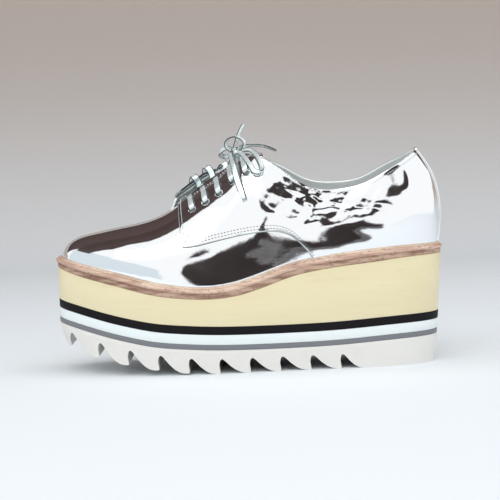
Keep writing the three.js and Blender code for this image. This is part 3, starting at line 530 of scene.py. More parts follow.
def thickened(points, normals, faces, thickness, rim=6):
    """A sheet made into a closed body with rounded edges. Faces come back in zones:
    0 outside, 1 inside, 2 rim."""
    inner = points - normals * thickness
    count = len(points)
    used = set()
    for face in faces:
        for i, v in enumerate(face):
            used.add((face[i - 1], v))
    border = [(a, b) for a, b in used if (b, a) not in used]
    follow = dict(border)
    lead = {b: a for a, b in border}
    ring_points, rings = [], {}
    for v in follow:
        tangent = unit(points[follow[v]] - points[lead[v]])
        out = unit(np.cross(tangent, normals[v]))
        middle = (points[v] + inner[v]) / 2
        rings[v] = [v]
        for k in range(1, rim):
            angle = math.pi * k / rim
            rings[v].append(2 * count + len(ring_points))
            ring_points.append(middle + thickness / 2 * (
                math.cos(angle) * normals[v] + math.sin(angle) * out))
        rings[v].append(v + count)
    all_faces = [list(face) for face in faces]
    zones = [0] * len(all_faces)
    all_faces += [[v + count for v in reversed(face)] for face in faces]
    zones += [1] * len(faces)
    for a, b in border:
        for k in range(rim):
            all_faces.append([rings[b][k], rings[a][k], rings[a][k + 1], rings[b][k + 1]])
            zones.append(2)
    every = np.vstack([points, inner] + ([np.array(ring_points)] if ring_points else []))
    return every, all_faces, zones


def sheet_body(name, points, normals, faces, thickness, materials, rim=6, flip=False):
    points, normals, faces = welded(points.reshape(-1, 3), normals.reshape(-1, 3),
                                    np.asarray(faces))
    if flip:
        faces = [face[::-1] for face in faces]
    every, all_faces, zones = thickened(points, normals, faces, thickness, rim)
    return make_object(name, every, all_faces, materials, zones)


def resampled(points, count):
    """Evenly spaced points along a polyline."""
    steps = np.linalg.norm(np.diff(points, axis=0), axis=1)
    at = np.concatenate([[0], np.cumsum(steps)])
    want = np.linspace(0, at[-1], count)
    return np.stack([np.interp(want, at, points[:, i]) for i in range(points.shape[1])], -1)


def rounded_line(points, count):
    """A smooth line through the points, evenly spaced."""
    points = np.asarray(points, float)
    steps = np.sqrt(np.linalg.norm(np.diff(points, axis=0), axis=1))
    at = np.concatenate([[0], np.cumsum(steps)])
    fine = natural_curve(at, points)(np.linspace(0, at[-1], 12 * len(points)))
    return resampled(fine, count)


# ---------------------------------------------------------------- materials

class Value:
    """A node socket on which arithmetic adds Math nodes."""

    def __init__(self, tree, socket):
        self.tree = tree
        self.socket = socket

    def _math(self, operation, first, second):
        node = self.tree.nodes.new("ShaderNodeMath")
        node.operation = operation
        for slot, value in ((0, first), (1, second)):
            if isinstance(value, Value):
                self.tree.links.new(value.socket, node.inputs[slot])
            else:
                node.inputs[slot].default_value = value
        return Value(self.tree, node.outputs[0])

    def __add__(self, other):
        return self._math("ADD", self, other)

    def __radd__(self, other):
        return self._math("ADD", other, self)

    def __sub__(self, other):
        return self._math("SUBTRACT", self, other)

    def __rsub__(self, other):
        return self._math("SUBTRACT", other, self)

    def __mul__(self, other):
        return self._math("MULTIPLY", self, other)

    def __rmul__(self, other):
        return self._math("MULTIPLY", other, self)


class Shader:
    """One material: constants go on the shader's own sockets."""

    def __init__(self, name, color, roughness, metallic=0.0, coat=0.0, specular=0.5):
        self.material = bpy.data.materials.new(name)
        self.material.use_nodes = True
        self.tree = self.material.node_tree
        self.bsdf = self.tree.nodes["Principled BSDF"]
        self.bsdf.inputs["Base Color"].default_value = (*color, 1)
        self.bsdf.inputs["Roughness"].default_value = roughness
        self.bsdf.inputs["Metallic"].default_value = metallic
        self.bsdf.inputs["Coat Weight"].default_value = coat
        self.bsdf.inputs["Specular IOR Level"].default_value = specular

    def node(self, kind, settings=None, output=0, **inputs):
        """A node of a type with its settings first, then its inputs by name or place."""
        node = self.tree.nodes.new(kind)
        for key, value in (settings or {}).items():
            if key == "stops":
                ramp = node.color_ramp
                while len(ramp.elements) < len(value):
                    ramp.elements.new(0.5)
                for element, (place, color) in zip(ramp.elements, value):
                    element.position = place
                    element.color = (*color, 1)
            else:
                setattr(node, key, value)
        for key, value in inputs.items():
            slot = node.inputs[int(key[1:]) if key[0] == "i" and key[1:].isdigit()
                               else key.replace("_", " ")]
            if isinstance(value, Value):
                self.tree.links.new(value.socket, slot)
            else:
                slot.default_value = value
        return Value(self.tree, node.outputs[output])

    def place(self, scale=(1, 1, 1), turn=(0, 0, 0)):
        """The object's own coordinates, scaled per axis."""
        where = self.node("ShaderNodeTexCoord", output=3)
        return self.node("ShaderNodeMapping", {}, Vector=where, Scale=scale, Rotation=turn)

    def noise(self, scale, detail=3.0, rough=0.55, stretch=(1, 1, 1), turn=(0, 0, 0)):
        return self.node("ShaderNodeTexNoise", {}, Vector=self.place(stretch, turn), Scale=scale,
                         Detail=detail, Roughness=rough)

    def ramp(self, value, *stops):
        return self.node("ShaderNodeValToRGB", {"stops": stops}, Fac=value)

    def step(self, value, low, high):
        return self.node("ShaderNodeMapRange", {"interpolation_type": "SMOOTHSTEP"},
                         Value=value, From_Min=low, From_Max=high)

    def mix(self, factor, first, second):
        def color(value):
            return value if isinstance(value, Value) else (*value, 1)
        return self.node("ShaderNodeMix", {"data_type": "RGBA"}, output=2,
                         i0=factor, i6=color(first), i7=color(second))

    def feed(self, name, value):
        self.tree.links.new(value.socket, self.bsdf.inputs[name])
        return self

    def bump(self, height, strength, distance):
        """Bumps that add to the ones before them."""
        node = self.tree.nodes.new("ShaderNodeBump")
        node.inputs["Strength"].default_value = strength
        node.inputs["Distance"].default_value = distance
        self.tree.links.new(height.socket, node.inputs["Height"])
        earlier = self.bsdf.inputs["Normal"]
        if earlier.is_linked:
            self.tree.links.new(earlier.links[0].from_socket, node.inputs["Normal"])
        self.tree.links.new(node.outputs[0], earlier)
        return self


def mirror_leather(name, tint=(0.96, 0.97, 0.98), rough=0.05):
    m = Shader(name, tint, rough, metallic=1.0)
    cloud = m.noise(34, 2.0)
    m.feed("Roughness", cloud * 0.05 + (rough - 0.02))
    m.bump(m.noise(170, 2.0, 0.5, (1, 1, 1.6)), 0.10, 0.0003)
    m.bump(m.noise(2600, 3.0), 0.10, 0.00006)
    return m.material


def lining_leather():
    m = Shader("lining_leather", (0.9, 0.94, 0.94), 0.4, metallic=0.45)
    m.feed("Base Color", m.mix(m.noise(90, 4.0), (0.86, 0.91, 0.91), (0.95, 0.98, 0.98)))
    m.bump(m.noise(2200, 4.0), 0.25, 0.0001)
    return m.material


def insole_leather():
    m = Shader("insole_leather", (0.62, 0.61, 0.58), 0.65)
    m.feed("Base Color", m.mix(m.noise(60, 4.0), (0.56, 0.55, 0.53), (0.68, 0.66, 0.63)))
    m.bump(m.noise(1800, 4.0), 0.3, 0.0001)
    return m.material


def welt_leather(name, light, dark, rough, depth):
    m = Shader(name, light, rough)
    streak = m.noise(260, 4.0, 0.6, (0.16, 0.16, 1.2))
    spot = m.step(m.noise(620, 3.0, 0.6, (0.45, 0.45, 1)), 0.54, 0.66)
    base = m.mix(m.step(streak, 0.35, 0.65), dark, light)
    m.feed("Base Color", m.mix(spot * 0.55, base, tuple(c * 0.5 for c in dark)))
    m.bump(m.noise(1300, 4.0, 0.6, (0.5, 0.5, 1)), 0.5, depth)
    return m.material


def platform_wood():
    m = Shader("platform_wood", (0.80, 0.70, 0.45), 0.42, coat=0.12)
    grain = m.noise(46, 5.0, 0.6, (0.10, 1, 1.4), (0, 0.10, 0))
    fine = m.noise(420, 3.0, 0.6, (0.05, 1, 1), (0, 0.10, 0))
    base = m.mix(grain, (0.84, 0.755, 0.51), (0.75, 0.65, 0.40))
    m.feed("Base Color", m.mix(m.step(fine, 0.55, 0.8) * 0.35, base, (0.66, 0.54, 0.33)))
    m.bump(fine, 0.12, 0.0001)
    return m.material


def rubber(name, color, rough, grain=0.00008, dirt=0.10, specular=0.4):
    m = Shader(name, color, rough, specular=specular)
    cloud = m.step(m.noise(120, 4.0), 0.45, 0.75)
    m.feed("Base Color", m.mix(cloud * dirt, color, tuple(c * 0.72 for c in color)))
    m.bump(m.noise(1500, 3.0), 0.25, grain)
    return m.material


def lace_fabric():
    m = Shader("lace_fabric", (0.80, 0.88, 0.88), 0.28, metallic=0.5)
    weave = m.node("ShaderNodeTexWave", {"bands_direction": "DIAGONAL"}, output=1,
                   Vector=m.place(), Scale=620.0, Distortion=0.6)
    m.bump(weave, 0.30, 0.00012)
    m.feed("Roughness", m.noise(300, 2.0) * 0.2 + 0.18)
    return m.material


def thread(name, color, rough=0.55):
    return Shader(name, color, rough).material


MATERIALS = {}


def materials():
    """Every material, made once."""
    if not MATERIALS:
        MATERIALS.update(
            mirror=mirror_leather("mirror_leather"),
            strip=mirror_leather("mirror_leather_strip", (0.86, 0.88, 0.89), 0.07),
            lining=lining_leather(),
            insole=insole_leather(),
            welt_top=welt_leather(
                "welt_top_strip", (0.74, 0.58, 0.45), (0.52, 0.36, 0.26), 0.55, 0.00015),
            welt_bead=welt_leather(
                "welt_bead", (0.76, 0.56, 0.44), (0.52, 0.31, 0.23), 0.5, 0.0002),
            welt_band=welt_leather(
                "welt_rough_band", (0.58, 0.40, 0.30), (0.27, 0.15, 0.10), 0.75, 0.0005),
            wood=platform_wood(),
            black=rubber("black_rubber", (0.009, 0.008, 0.010), 0.6, specular=0.12),
            white=rubber("white_rubber", (0.80, 0.86, 0.87), 0.5, dirt=0.06),
            grey=rubber("grey_rubber", (0.19, 0.195, 0.215), 0.55),
            outsole=rubber("outsole_rubber", (0.78, 0.765, 0.73), 0.5, 0.00012),
            flap=mirror_leather("flap_underside", (0.80, 0.86, 0.85), 0.42),
            edge=thread("leather_edge", (0.30, 0.34, 0.34)),
            # Near-black walls of the eyelet holes: painted shade.
            hole=thread("eyelet_painted_shade", (0.006, 0.006, 0.007)),
            lace=lace_fabric(),
            lace_edge=thread("lace_edge", (0.05, 0.05, 0.055), 0.5),
            thread_light=thread("thread_light", (0.55, 0.57, 0.58)),
            # Seam thread: its grey darkened with painted shade of the stitch holes.
            thread_dark=thread("thread_dark", (0.17, 0.18, 0.19)),
        )
    return MATERIALS


# ---------------------------------------------------------------- sole

SOLE_TURNS = 150


def sole_ring(height, inset, toe_lean=0.0):
    """One closed ring of a sole layer, the lateral side first."""
    turn = np.linspace(0, math.pi, SOLE_TURNS + 1)
    both = []
    for side in (-1, 1):
        x, y = outline_point(turn, side, inset)
        depth = np.maximum(0, 1 - height(x) / seat(x))
        heel = smooth(2 * along_at(x) - 1)
        toe = smooth(1 - 5 * along_at(x))
        x = x - HEEL_RAKE * heel * depth ** 1.6 + toe_lean * toe
        both.append(np.stack([x, y, height(x)], -1))
    return np.vstack([both[0], both[1][-2:0:-1]])


def sole_body(name, levels, mats, zones=None):
    """A layer from rings listed upwards, closed by strips across the foot."""
    rings = [sole_ring(*level) for level in levels]
    size = len(rings[0])
    points = np.vstack(rings)
    faces, kinds = [], []
    for i in range(len(rings) - 1):
        for k in range(size):
            n = (k + 1) % size
            faces.append([i * size + k, i * size + n, (i + 1) * size + n, (i + 1) * size + k])
            kinds.append(zones[i] if zones else 0)
    last = (len(rings) - 1) * size
    for k in range(SOLE_TURNS):
        a, b = k, k + 1
        c, d = (size - k - 1) % size, (size - k) % size
        for base, flip in ((0, True), (last, False)):
            face = [base + v for v in (a, b, c, d)]
            face = [v for i, v in enumerate(face) if v != face[i - 1]]
            if len(set(face)) > 2:
                faces.append(face[::-1] if flip else face)
                kinds.append(zones[0 if flip else -1] if zones else 0)
    return make_object(name, points, faces, mats, kinds)


def plus(height, rise):
    return lambda x: height(x) + rise


EDGE_ROUND = 0.35


def rounded_edge(top, r):
    """The three rings of a layer's rounded upper edge."""
    return [(plus(top, -r), EDGE_INSET), (plus(top, -0.3 * r), EDGE_INSET + 0.3 * r),
            (plus(top, -LAYER_GAP), EDGE_INSET + r)]


def flat_layer(name, bottom, top, material, r=EDGE_ROUND):
    lower = [(plus(bottom, LAYER_GAP), EDGE_INSET + r),
             (plus(bottom, 0.3 * r), EDGE_INSET + 0.3 * r), (plus(bottom, r), EDGE_INSET)]
    return sole_body(name, lower + rounded_edge(top, r), [material])


def tooth_line():
    """The tread in side view, with rounded tips and roots."""
    heel = LENGTH / 2
    first = FIRST_TOOTH - heel
    knots = [(-heel - 5, float(rocker(first)) + 2)]
    for i in range(TEETH):
        tip = first + i * TOOTH_PITCH
        floor = float(rocker(tip))
        root = floor + TOOTH_DEPTH
        following = tip + TOOTH_PITCH * (1 if i + 1 < TEETH else LAST_STEP)
        next_floor = float(rocker(following))
        drop = root - next_floor
        run = following - TOOTH_FLAT - tip
        knots += [
            (tip - TOOTH_FLAT, floor), (tip, floor),
            (tip - TOOTH_HOOK, floor + 0.55 * TOOTH_DEPTH),
            (tip - 0.3 * TOOTH_HOOK, floor + 0.88 * TOOTH_DEPTH),
            *((tip + far * run, root - down * drop) for far, down in TOOTH_BACK),
            (tip + run, next_floor),
        ]
    knots.append((heel + 5, 0))
    knots = [p for i, p in enumerate(knots) if i == 0 or math.dist(p, knots[i - 1]) > 0.01]
    line = [np.array(knots[0])]
    for before, here, after in zip(knots, knots[1:], knots[2:]):
        before, here, after = (np.array(p) for p in (before, here, after))
        reach = min(0.9, 0.45 * np.linalg.norm(here - before), 0.45 * np.linalg.norm(after - here))
        a = here + (before - here) / np.linalg.norm(before - here) * reach
        b = here + (after - here) / np.linalg.norm(after - here) * reach
        for t in (0, 0.33, 0.67, 1):
            line.append((1 - t) ** 2 * a + 2 * t * (1 - t) * here + t * t * b)
    line.append(np.array(knots[-1]))
    return line


def outsole_body(mats):
    def below(share):
        return lambda x: outsole_top(x) * (1 - share) - TREAD_ROOM * share
    side = [(below(share), EDGE_INSET + inset, lean * TOE_UNDERCUT)
            for share, inset, lean in OUTSOLE_SIDE]
    block = sole_body("outsole_block", side + rounded_edge(outsole_top, EDGE_ROUND), mats)
    line = tooth_line()
    ceiling = 60.0
    outline = [(line[0][0], ceiling)] + [tuple(p) for p in line] + [(line[-1][0], ceiling)]
    wide = BALL_WIDTH
    count = len(outline)
    points = [(x, -wide, z) for x, z in outline] + [(x, wide, z) for x, z in outline]
    faces = [list(range(count)), list(range(2 * count - 1, count - 1, -1))]
    faces += [[k, k + count, (k + 1) % count + count, (k + 1) % count] for k in range(count)]
    prism = make_object("tread_prism", np.array(points), faces, mats, shade=False, weld=1e-4)
    cut = block.modifiers.new("tread", "BOOLEAN")
    cut.operation = "INTERSECT"
    cut.solver = "EXACT"
    cut.object = prism
    body = baked(block, "outsole_tread")
    bpy.data.objects.remove(prism)
    return body


def baked(obj, name):
    """The object with its modifiers applied, as a plain mesh."""
    graph = bpy.context.evaluated_depsgraph_get()
    mesh = bpy.data.meshes.new_from_object(obj.evaluated_get(graph), depsgraph=graph)
    mesh.name = name
    bpy.data.objects.remove(obj)
    return placed(name, mesh)


def shade_by_angle(obj, degrees):
    """Smooth faces, with sharp edges where two meet at more than the angle."""
    edit = bmesh.new()
    edit.from_mesh(obj.data)
    bmesh.ops.remove_doubles(edit, verts=edit.verts, dist=1e-7)
    for face in edit.faces:
        face.smooth = True
    for edge in edit.edges:
        edge.smooth = edge.is_manifold and edge.calc_face_angle(0) < math.radians(degrees)
    edit.to_mesh(obj.data)
    edit.free()


def finish_piece(obj, slot, *nodes):
    """Rides the shoe's only body and stands for CAD nodes; the slot is not used."""
    obj.name = obj.name.split(".")[0] + "_look"
    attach(obj, "root")
    if nodes:
        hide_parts(*nodes)
    return obj


def build_sole(look):
    m = materials()
    tread = outsole_body([m["outsole"]])
    shade_by_angle(tread, 38)
    finish_piece(tread, "outsole", "outsole")
    finish_piece(flat_layer("grey_layer", outsole_top, grey_top, m["grey"]),
                 "grey_layer", "midsole_grey")
    finish_piece(flat_layer("white_layer", grey_top, white_top, m["white"]),
                 "white_layer", "midsole_white")
    finish_piece(flat_layer("black_layer", white_top, black_top, m["black"]),
                 "black_layer", "midsole_black")
    finish_piece(flat_layer("wood_platform", black_top, platform_top, m["wood"], 0.5),
                 "wood_platform", "platform")

    def share(part):
        return lambda x: platform_top(x) + LAYER_GAP + (
            seat(x) - platform_top(x) - LAYER_GAP) * part

    edge = EDGE_INSET
    # Rings upwards: share of the welt's height, inset; five each of band, bead and top strip
    levels = [
        (share(0.0), edge + 0.5), (share(0.05), edge + 0.05), (share(0.12), edge - 0.1),
        (share(0.40), edge - 0.1), (share(0.44), edge + 0.15), (share(0.47), edge - 0.1),
        (share(0.54), 0.15), (share(0.64), -0.1), (share(0.74), 0.2), (share(0.80), 0.9),
        (share(0.82), 1.5), (share(0.84), 1.3), (share(0.90), WELT_ROUND * 0.55),
        (share(0.97), WELT_ROUND * 0.75), (share(1.0), WELT_ROUND + 0.3),
    ]
    kinds = [2] * 5 + [1] * 5 + [0] * 5
    welt = sole_body("welt", levels, [m["welt_top"], m["welt_bead"], m["welt_band"]], kinds)
    finish_piece(welt, "tan_welt", "welt")
    inset = FEATHER_INSET + WALL + 0.2
    insole = sole_body("insole", [
        (plus(seat, 0.05), inset), (plus(seat, INSOLE_THICKNESS - 0.5), inset + 1.4),
        (plus(seat, INSOLE_THICKNESS), inset + 2.2),
    ], [m["insole"]])
    finish_piece(insole, "insole_leather", "insole")


# ---------------------------------------------------------------- upper

def upper_turns():
    """Meridians: even along the foot, closer together at the throat's front."""
    plain = np.linspace(0, math.pi, 170)
    nose = turn_of_ridge(x_at(THROAT_START))
    close = nose + np.array([0, 2e-4, 1e-3, 2.5e-3, 5e-3, 8e-3, 0.012, 0.017, 0.023, 0.031, 0.04,
                             0.052, 0.066, 0.082, 0.098])
    plain = plain[(plain < nose - 0.006) | (plain > close[-1] + 0.006)]
    return np.sort(np.concatenate([plain, close]))


def turn_of_ridge(x):
    """The meridian whose top lies at x."""
    low, high = 0.2, 2.6
    for _ in range(40):
        mid = (low + high) / 2
        if form_point(mid, -1, 1.0)[0] < x:
            low = mid
        else:
            high = mid
    return high


UPPER_CLIMBS = 52


def upper_sheet():
    """Outer surface of the upper, both sides."""
    turns = upper_turns()
    share = np.linspace(0, 1, UPPER_CLIMBS + 1)
    points, normals, faces = [], [], []
    for side in (-1, 1):
        top = edge_climb(turns, side)
        turn = np.repeat(turns[:, None], len(share), 1)
        climb = top[:, None] * share[None, :]
        p, n = skin(turn, np.full(turn.shape, side), climb)
        p[:, 0, 2] = seat(p[:, 0, 0]) - 0.1
        faces.append(grid_faces(len(turns), len(share), sum(len(q) for q in points), side > 0))
        points.append(p.reshape(-1, 3))
        normals.append(n.reshape(-1, 3))
    return np.vstack(points), np.vstack(normals), np.vstack(faces)


def filled_grid(bottom, top, left, right):
    """A grid of places between four border lines, given as rows of (turn, climb)."""
    rows, columns = len(bottom), len(left)
    u = np.linspace(0, 1, rows)[:, None, None]
    v = np.linspace(0, 1, columns)[None, :, None]
    ruled = (1 - v) * bottom[:, None] + v * top[:, None]
    across = (1 - u) * left[None] + u * right[None]
    corner = ((1 - u) * (1 - v) * bottom[0] + u * (1 - v) * bottom[-1]
              + (1 - u) * v * top[0] + u * v * top[-1])
    return ruled + across - corner


BACK_SEAM_GAP = 0.35
BACK_TURN = math.pi - (BACK_STRIP_WIDTH / 2 + BACK_SEAM_GAP) / HEEL_BREADTH


def side_spots(rows):
    return np.stack([x_at(rows[:, 0]), LOWEST_SEAT + rows[:, 1] * INSTEP_HEIGHT], -1)


def even_places(places, count, side):
    """The same line of places, evenly spaced over the leather."""
    dense = resampled(np.asarray(places, float), 400)
    points = form_point(dense[:, 0], side, dense[:, 1])
    at = np.concatenate([[0], np.cumsum(np.linalg.norm(np.diff(points, axis=0), axis=1))])
    want = np.linspace(0, at[-1], count)
    return np.stack([np.interp(want, at, dense[:, i]) for i in (0, 1)], -1)


def quarter_borders(side, rows=150, columns=56):
    """Bottom, top, front and back line of a quarter, as rows of (turn, climb)."""
    start = THROAT_START - QUARTER_LEAD
    seam = rounded_line(side_spots(QUARTER_SEAM), 70)
    turn, climb = find_place(seam[:, 0], seam[:, 1], side)
    seam = np.stack([turn, climb], -1)
    corner_turn = seam[-1, 0] + 0.012
    foot = np.stack([np.linspace(corner_turn, BACK_TURN, 60), np.zeros(60)], -1)
    bottom = np.vstack([seam, foot])
    top_turn = float(turn_of(QUARTER_CORNER))
    top_climb = float(edge_climb(np.array([top_turn]), side, start)[0])
    corner = form_point(top_turn, side, top_climb)[[0, 2]]
    line = rounded_line(np.vstack([side_spots(QUARTER_FRONT)[::-1], corner[None]]), 40)
    turn, climb = find_place(line[:, 0], line[:, 1], side)
    front = np.stack([turn, climb], -1)
    front[-1] = top_turn, top_climb
    top_turns = np.linspace(top_turn, BACK_TURN, 300)
    top = np.stack([top_turns, edge_climb(top_turns, side, start)], -1)
    back = np.stack([np.full(40, BACK_TURN), np.linspace(0, 1, 40)], -1)
    return (even_places(bottom, rows, side), even_places(top, rows, side),
            even_places(front, columns, side), even_places(back, columns, side))


def quarter_sheet(side, offset):
    places = filled_grid(*quarter_borders(side))
    turn, climb = places[..., 0], np.clip(places[..., 1], 0, 1)
    p, n = skin(turn, np.full(turn.shape, side), climb, offset)
    feet = climb <= 1e-6
    p[feet, 2] = seat(p[feet, 0]) - 0.05
    return p, n, grid_faces(*turn.shape, flip=side > 0)


def eyelet_place(row, side):
    """turn and climb of an eyelet, one setback from the facing's edge."""
    share = row / (EYELET_ROWS - 1)
    turn = float(turn_of((1 - share) * EYELET_FIRST + share * EYELET_LAST))
    top = float(edge_climb(np.array([turn]), side)[0])
    edge = form_point(turn, side, top)
    climb = top
    while np.linalg.norm(form_point(turn, side, climb) - edge) < EYELET_SETBACK:
        climb -= 0.004
    return turn, climb


def punch_tool():
    """The eyelets' cutters, as one mesh; their faces give the hole walls a near-black painted
    shade.
    """
    edit = bmesh.new()
    for side in (-1, 1):
        for row in range(EYELET_ROWS):
            turn, climb = eyelet_place(row, side)
            point, normal = skin(turn, side, climb - EYELET_DROP)
            spin = Vector((0, 0, 1)).rotation_difference(Vector(normal)).to_matrix().to_4x4()
            bmesh.ops.create_cone(
                edit, cap_ends=True, segments=24, radius1=EYELET_VISIBLE / 2 * MM,
                radius2=EYELET_VISIBLE / 2 * MM, depth=PUNCH_DEPTH * MM,
                matrix=Matrix.Translation(Vector(point) * MM) @ spin)
    mesh = bpy.data.meshes.new("punch")
    edit.to_mesh(mesh)
    edit.free()
    for _ in range(HOLE_SLOT + 1):
        mesh.materials.append(materials()["hole"])
    mesh.polygons.foreach_set("material_index", [HOLE_SLOT] * len(mesh.polygons))
    return placed("punch", mesh)


def punched(obj, tool):
    cut = obj.modifiers.new("eyelets", "BOOLEAN")
    cut.operation = "DIFFERENCE"
    cut.solver = "EXACT"
    cut.object = tool
    return baked(obj, obj.name)


def back_strip():
    m = materials()
    half = BACK_STRIP_WIDTH / 2 / HEEL_BREADTH
    share = np.linspace(-1, 1, 13)
    climbs = np.linspace(0, 1, 60)
    grid_share, grid_climb = np.meshgrid(share, climbs, indexing="ij")
    side = np.where(grid_share < 0, -1.0, 1.0)
    turn = math.pi - np.abs(grid_share) * half
    p, n = skin(turn, side, grid_climb, OVERLAY_GAP + 2 * OVERLAY)
    p[:, 0, 2] = seat(p[:, 0, 0]) - 0.05
    return sheet_body("back_strip", p, n, grid_faces(*turn.shape),
                      2 * OVERLAY - OVERLAY_GAP, [m["strip"], m["lining"], m["strip"]])


def arch_line(turn, offset, count):
    """The line that bridges the throat at one meridian."""
    ends, handles = [], []
    for side in (-1, 1):
        normal = form_normal(turn, side, 1.0)
        end = form_point(turn, side, 1.0) + normal * offset
        below = form_point(turn, side, 0.96) + form_normal(turn, side, 0.96) * offset
        ends.append(end)
        handles.append(unit(end - below))
    gap = np.linalg.norm(ends[0] - ends[1])
    first, second = (ends[i] + handles[i] * 0.18 * gap for i in (0, 1))
    t = np.linspace(0, 1, count)[:, None]
    d = 1 - t
    return d ** 3 * ends[0] + 3 * d * d * t * first + 3 * d * t * t * second + t ** 3 * ends[1]


TONGUE_DROP = 1.3
TONGUE_ROOT = 0.31
TONGUE_NECK = 0.505
TONGUE_WING = 0.8


def tongue_body():
    m = materials()
    offset = -WALL - TONGUE_DROP
    wing = np.linspace(TONGUE_WING, 1, 12)
    sections = []
    for turn in turn_of(np.linspace(TONGUE_ROOT, TONGUE_NECK, 46)):
        left = form_point(turn, -1, wing) + form_normal(turn, -1, wing) * offset
        right = form_point(turn, 1, wing) + form_normal(turn, 1, wing) * offset
        arch = arch_line(float(turn), offset, 17)
        sections.append(np.vstack([left, arch[1:-1], right[::-1]]))
    sections = [resampled(s, 41) for s in sections]
    last, before = sections[-1], sections[-4]
    heading = unit(last[20] - before[20])
    heading[2] *= 0.55
    edge = np.abs(np.linspace(-1, 1, 41))[:, None]
    for share in np.linspace(0.08, 1, 12):
        flap = last + heading * TONGUE_RISE * 1.15 * share * (1 - 0.5 * edge ** 2.4)
        flap[:, 1] *= 1 - 0.3 * edge[:, 0] * share
        flap[:, 2] += 1.2 * math.sin(math.pi * share)
        sections.append(flap)
    p = np.array(sections)
    du = np.gradient(p, axis=0)
    dv = np.gradient(p, axis=1)
    n = unit(np.cross(du, dv))
    if n[20, 20, 2] < 0:
        n = -n
    faces = grid_faces(*p.shape[:2])
    return sheet_body("tongue", p, n, faces, TONGUE_THICKNESS,
                      [m["mirror"], m["lining"], m["mirror"]])


def build_upper(look):
    m = materials()
    leather = [m["mirror"], m["lining"], m["lining"], m["hole"]]
    tool = punch_tool()
    upper = sheet_body("upper", *upper_sheet(), WALL, leather)
    upper = punched(upper, tool)
    finish_piece(upper, "mirror_leather", "upper")
    for side, name in ((-1, "quarter_lateral"), (1, "quarter_medial")):
        p, n, faces = quarter_sheet(side, OVERLAY_GAP + OVERLAY)
        body = sheet_body(name, p, n, faces, OVERLAY - OVERLAY_GAP / 2,
                          [m["mirror"], m["flap"], m["edge"], m["hole"]])
        body = punched(body, tool)
        finish_piece(body, "mirror_leather", name)
    bpy.data.objects.remove(tool)
    finish_piece(back_strip(), "mirror_leather", "back_strip")
    finish_piece(tongue_body(), "mirror_leather", "tongue")


# ---------------------------------------------------------------- lace

# Corners of the lace's cross section, as shares of its half width and half thickness
LACE_SECTION = np.array([
    (1, -0.45), (1, 0.45), (0.80, 0.9), (0.5, 1), (0, 1.1), (-0.5, 1), (-0.80, 0.9),
    (-1, 0.45), (-1, -0.45), (-0.80, -0.9), (-0.5, -1), (0, -1.1), (0.5, -1), (0.80, -0.9),
])


def ribbon(points, width, thickness, wide):
    """A flat lace through evenly spaced points; wide gives each point its width's way."""
    points = np.asarray(points, float)
    count = len(points)
    width = np.broadcast_to(np.asarray(width, float), (count,))
    forward = unit(np.gradient(points, axis=0))
    wide = np.broadcast_to(np.asarray(wide, float), points.shape)
    wide = unit(wide - (wide * forward).sum(1, keepdims=True) * forward)
    thick = np.cross(forward, wide)
    across, up = LACE_SECTION.T
    sides = len(across)
    sideways = across[None, :, None] * width[:, None, None] / 2
    rings = (points[:, None] + wide[:, None] * sideways
             + thick[:, None] * (up[None, :, None] * thickness / 2))
    faces, zones = [], []
    for i in range(count - 1):
        for k in range(sides):
            n = (k + 1) % sides
            faces.append([i * sides + k, (i + 1) * sides + k, (i + 1) * sides + n, i * sides + n])
            zones.append(1 if min(abs(across[k]), abs(across[n])) > 0.75 else 0)
    faces.append(list(range(sides)))
    faces.append([(count - 1) * sides + k for k in range(sides - 1, -1, -1)])
    return rings.reshape(-1, 3), faces, zones + [1, 1]


def joined(parts):
    points, faces, zones = [], [], []
    offset = 0
    for p, f, z in parts:
        points.append(p)
        faces += [[v + offset for v in face] for face in f]
        zones += z
        offset += len(p)
    return np.vstack(points), faces, zones


def throat_place(turn, away, offset):
    """A point over the throat at a distance from the middle line."""
    side = -1 if away < 0 else 1
    middle = float(line_centre(along_of(turn))) * BALL_WIDTH
    top = form_point(turn, side, 1.0) + form_normal(turn, side, 1.0) * offset
    reach = abs(top[1] - middle)
    if abs(away) < reach:
        line = arch_line(turn, offset, 81)
        share = 0.5 + 0.5 * away / reach
        return line[int(round(share * 80))]
    low, high = 0.3, 1.0
    for _ in range(24):
        climb = (low + high) / 2
        point = form_point(turn, side, climb) + form_normal(turn, side, climb) * offset
        if abs(point[1] - middle) > abs(away):
            low = climb
        else:
            high = climb
    lift = float(facing_lift(turn, side, high))
    return (form_point(turn, side, high)
            + form_normal(turn, side, high) * (offset + (lift if offset > 0 else 0)))


LACE_OUTSIDE = OVERLAY + 0.45 + LACE_THICKNESS / 2
LACE_INSIDE = -WALL + LACE_THICKNESS / 2 - 0.4
THROAT_HEADING = np.array([0.83, 0, 0.56])


def edge_away(turn, side):
    point = form_point(turn, side, float(edge_climb(np.array([turn]), side)[0]))
    return abs(point[1] - float(line_centre(along_of(turn))) * BALL_WIDTH)


def wrap(row, side):
    """From below an eyelet out through it, over the facing's edge and into the throat."""
    turn, climb = eyelet_place(row, side)
    point, normal = skin(turn, side, climb)
    away = edge_away(turn, side)
    lifted = float(facing_lift(turn, side, 1.0))
    place = abs(point[1])
    slant = WRAP_SLANT if side > 0 else 0.0
    half, full = (float(turn_of(along_of(turn) + share * slant / LENGTH)) for share in (0.5, 1))
    return [
        point - normal * 2.6,
        point + normal * (LACE_OUTSIDE - 0.4),
        throat_place(turn, side * (0.72 * place + 0.28 * away), LACE_OUTSIDE + 0.25),
        throat_place(half, side * (0.4 * place + 0.6 * away), LACE_OUTSIDE + 0.15),
        throat_place(full, side * (away + 0.8), LACE_OUTSIDE + 0.25),
        throat_place(full, side * (away - 0.75), 0.6) + np.array([0, 0, lifted * 0.8]),
        throat_place(full, side * (away - 1.8), LACE_INSIDE + 0.8)
        + np.array([0, 0, lifted * 0.3]),
    ]


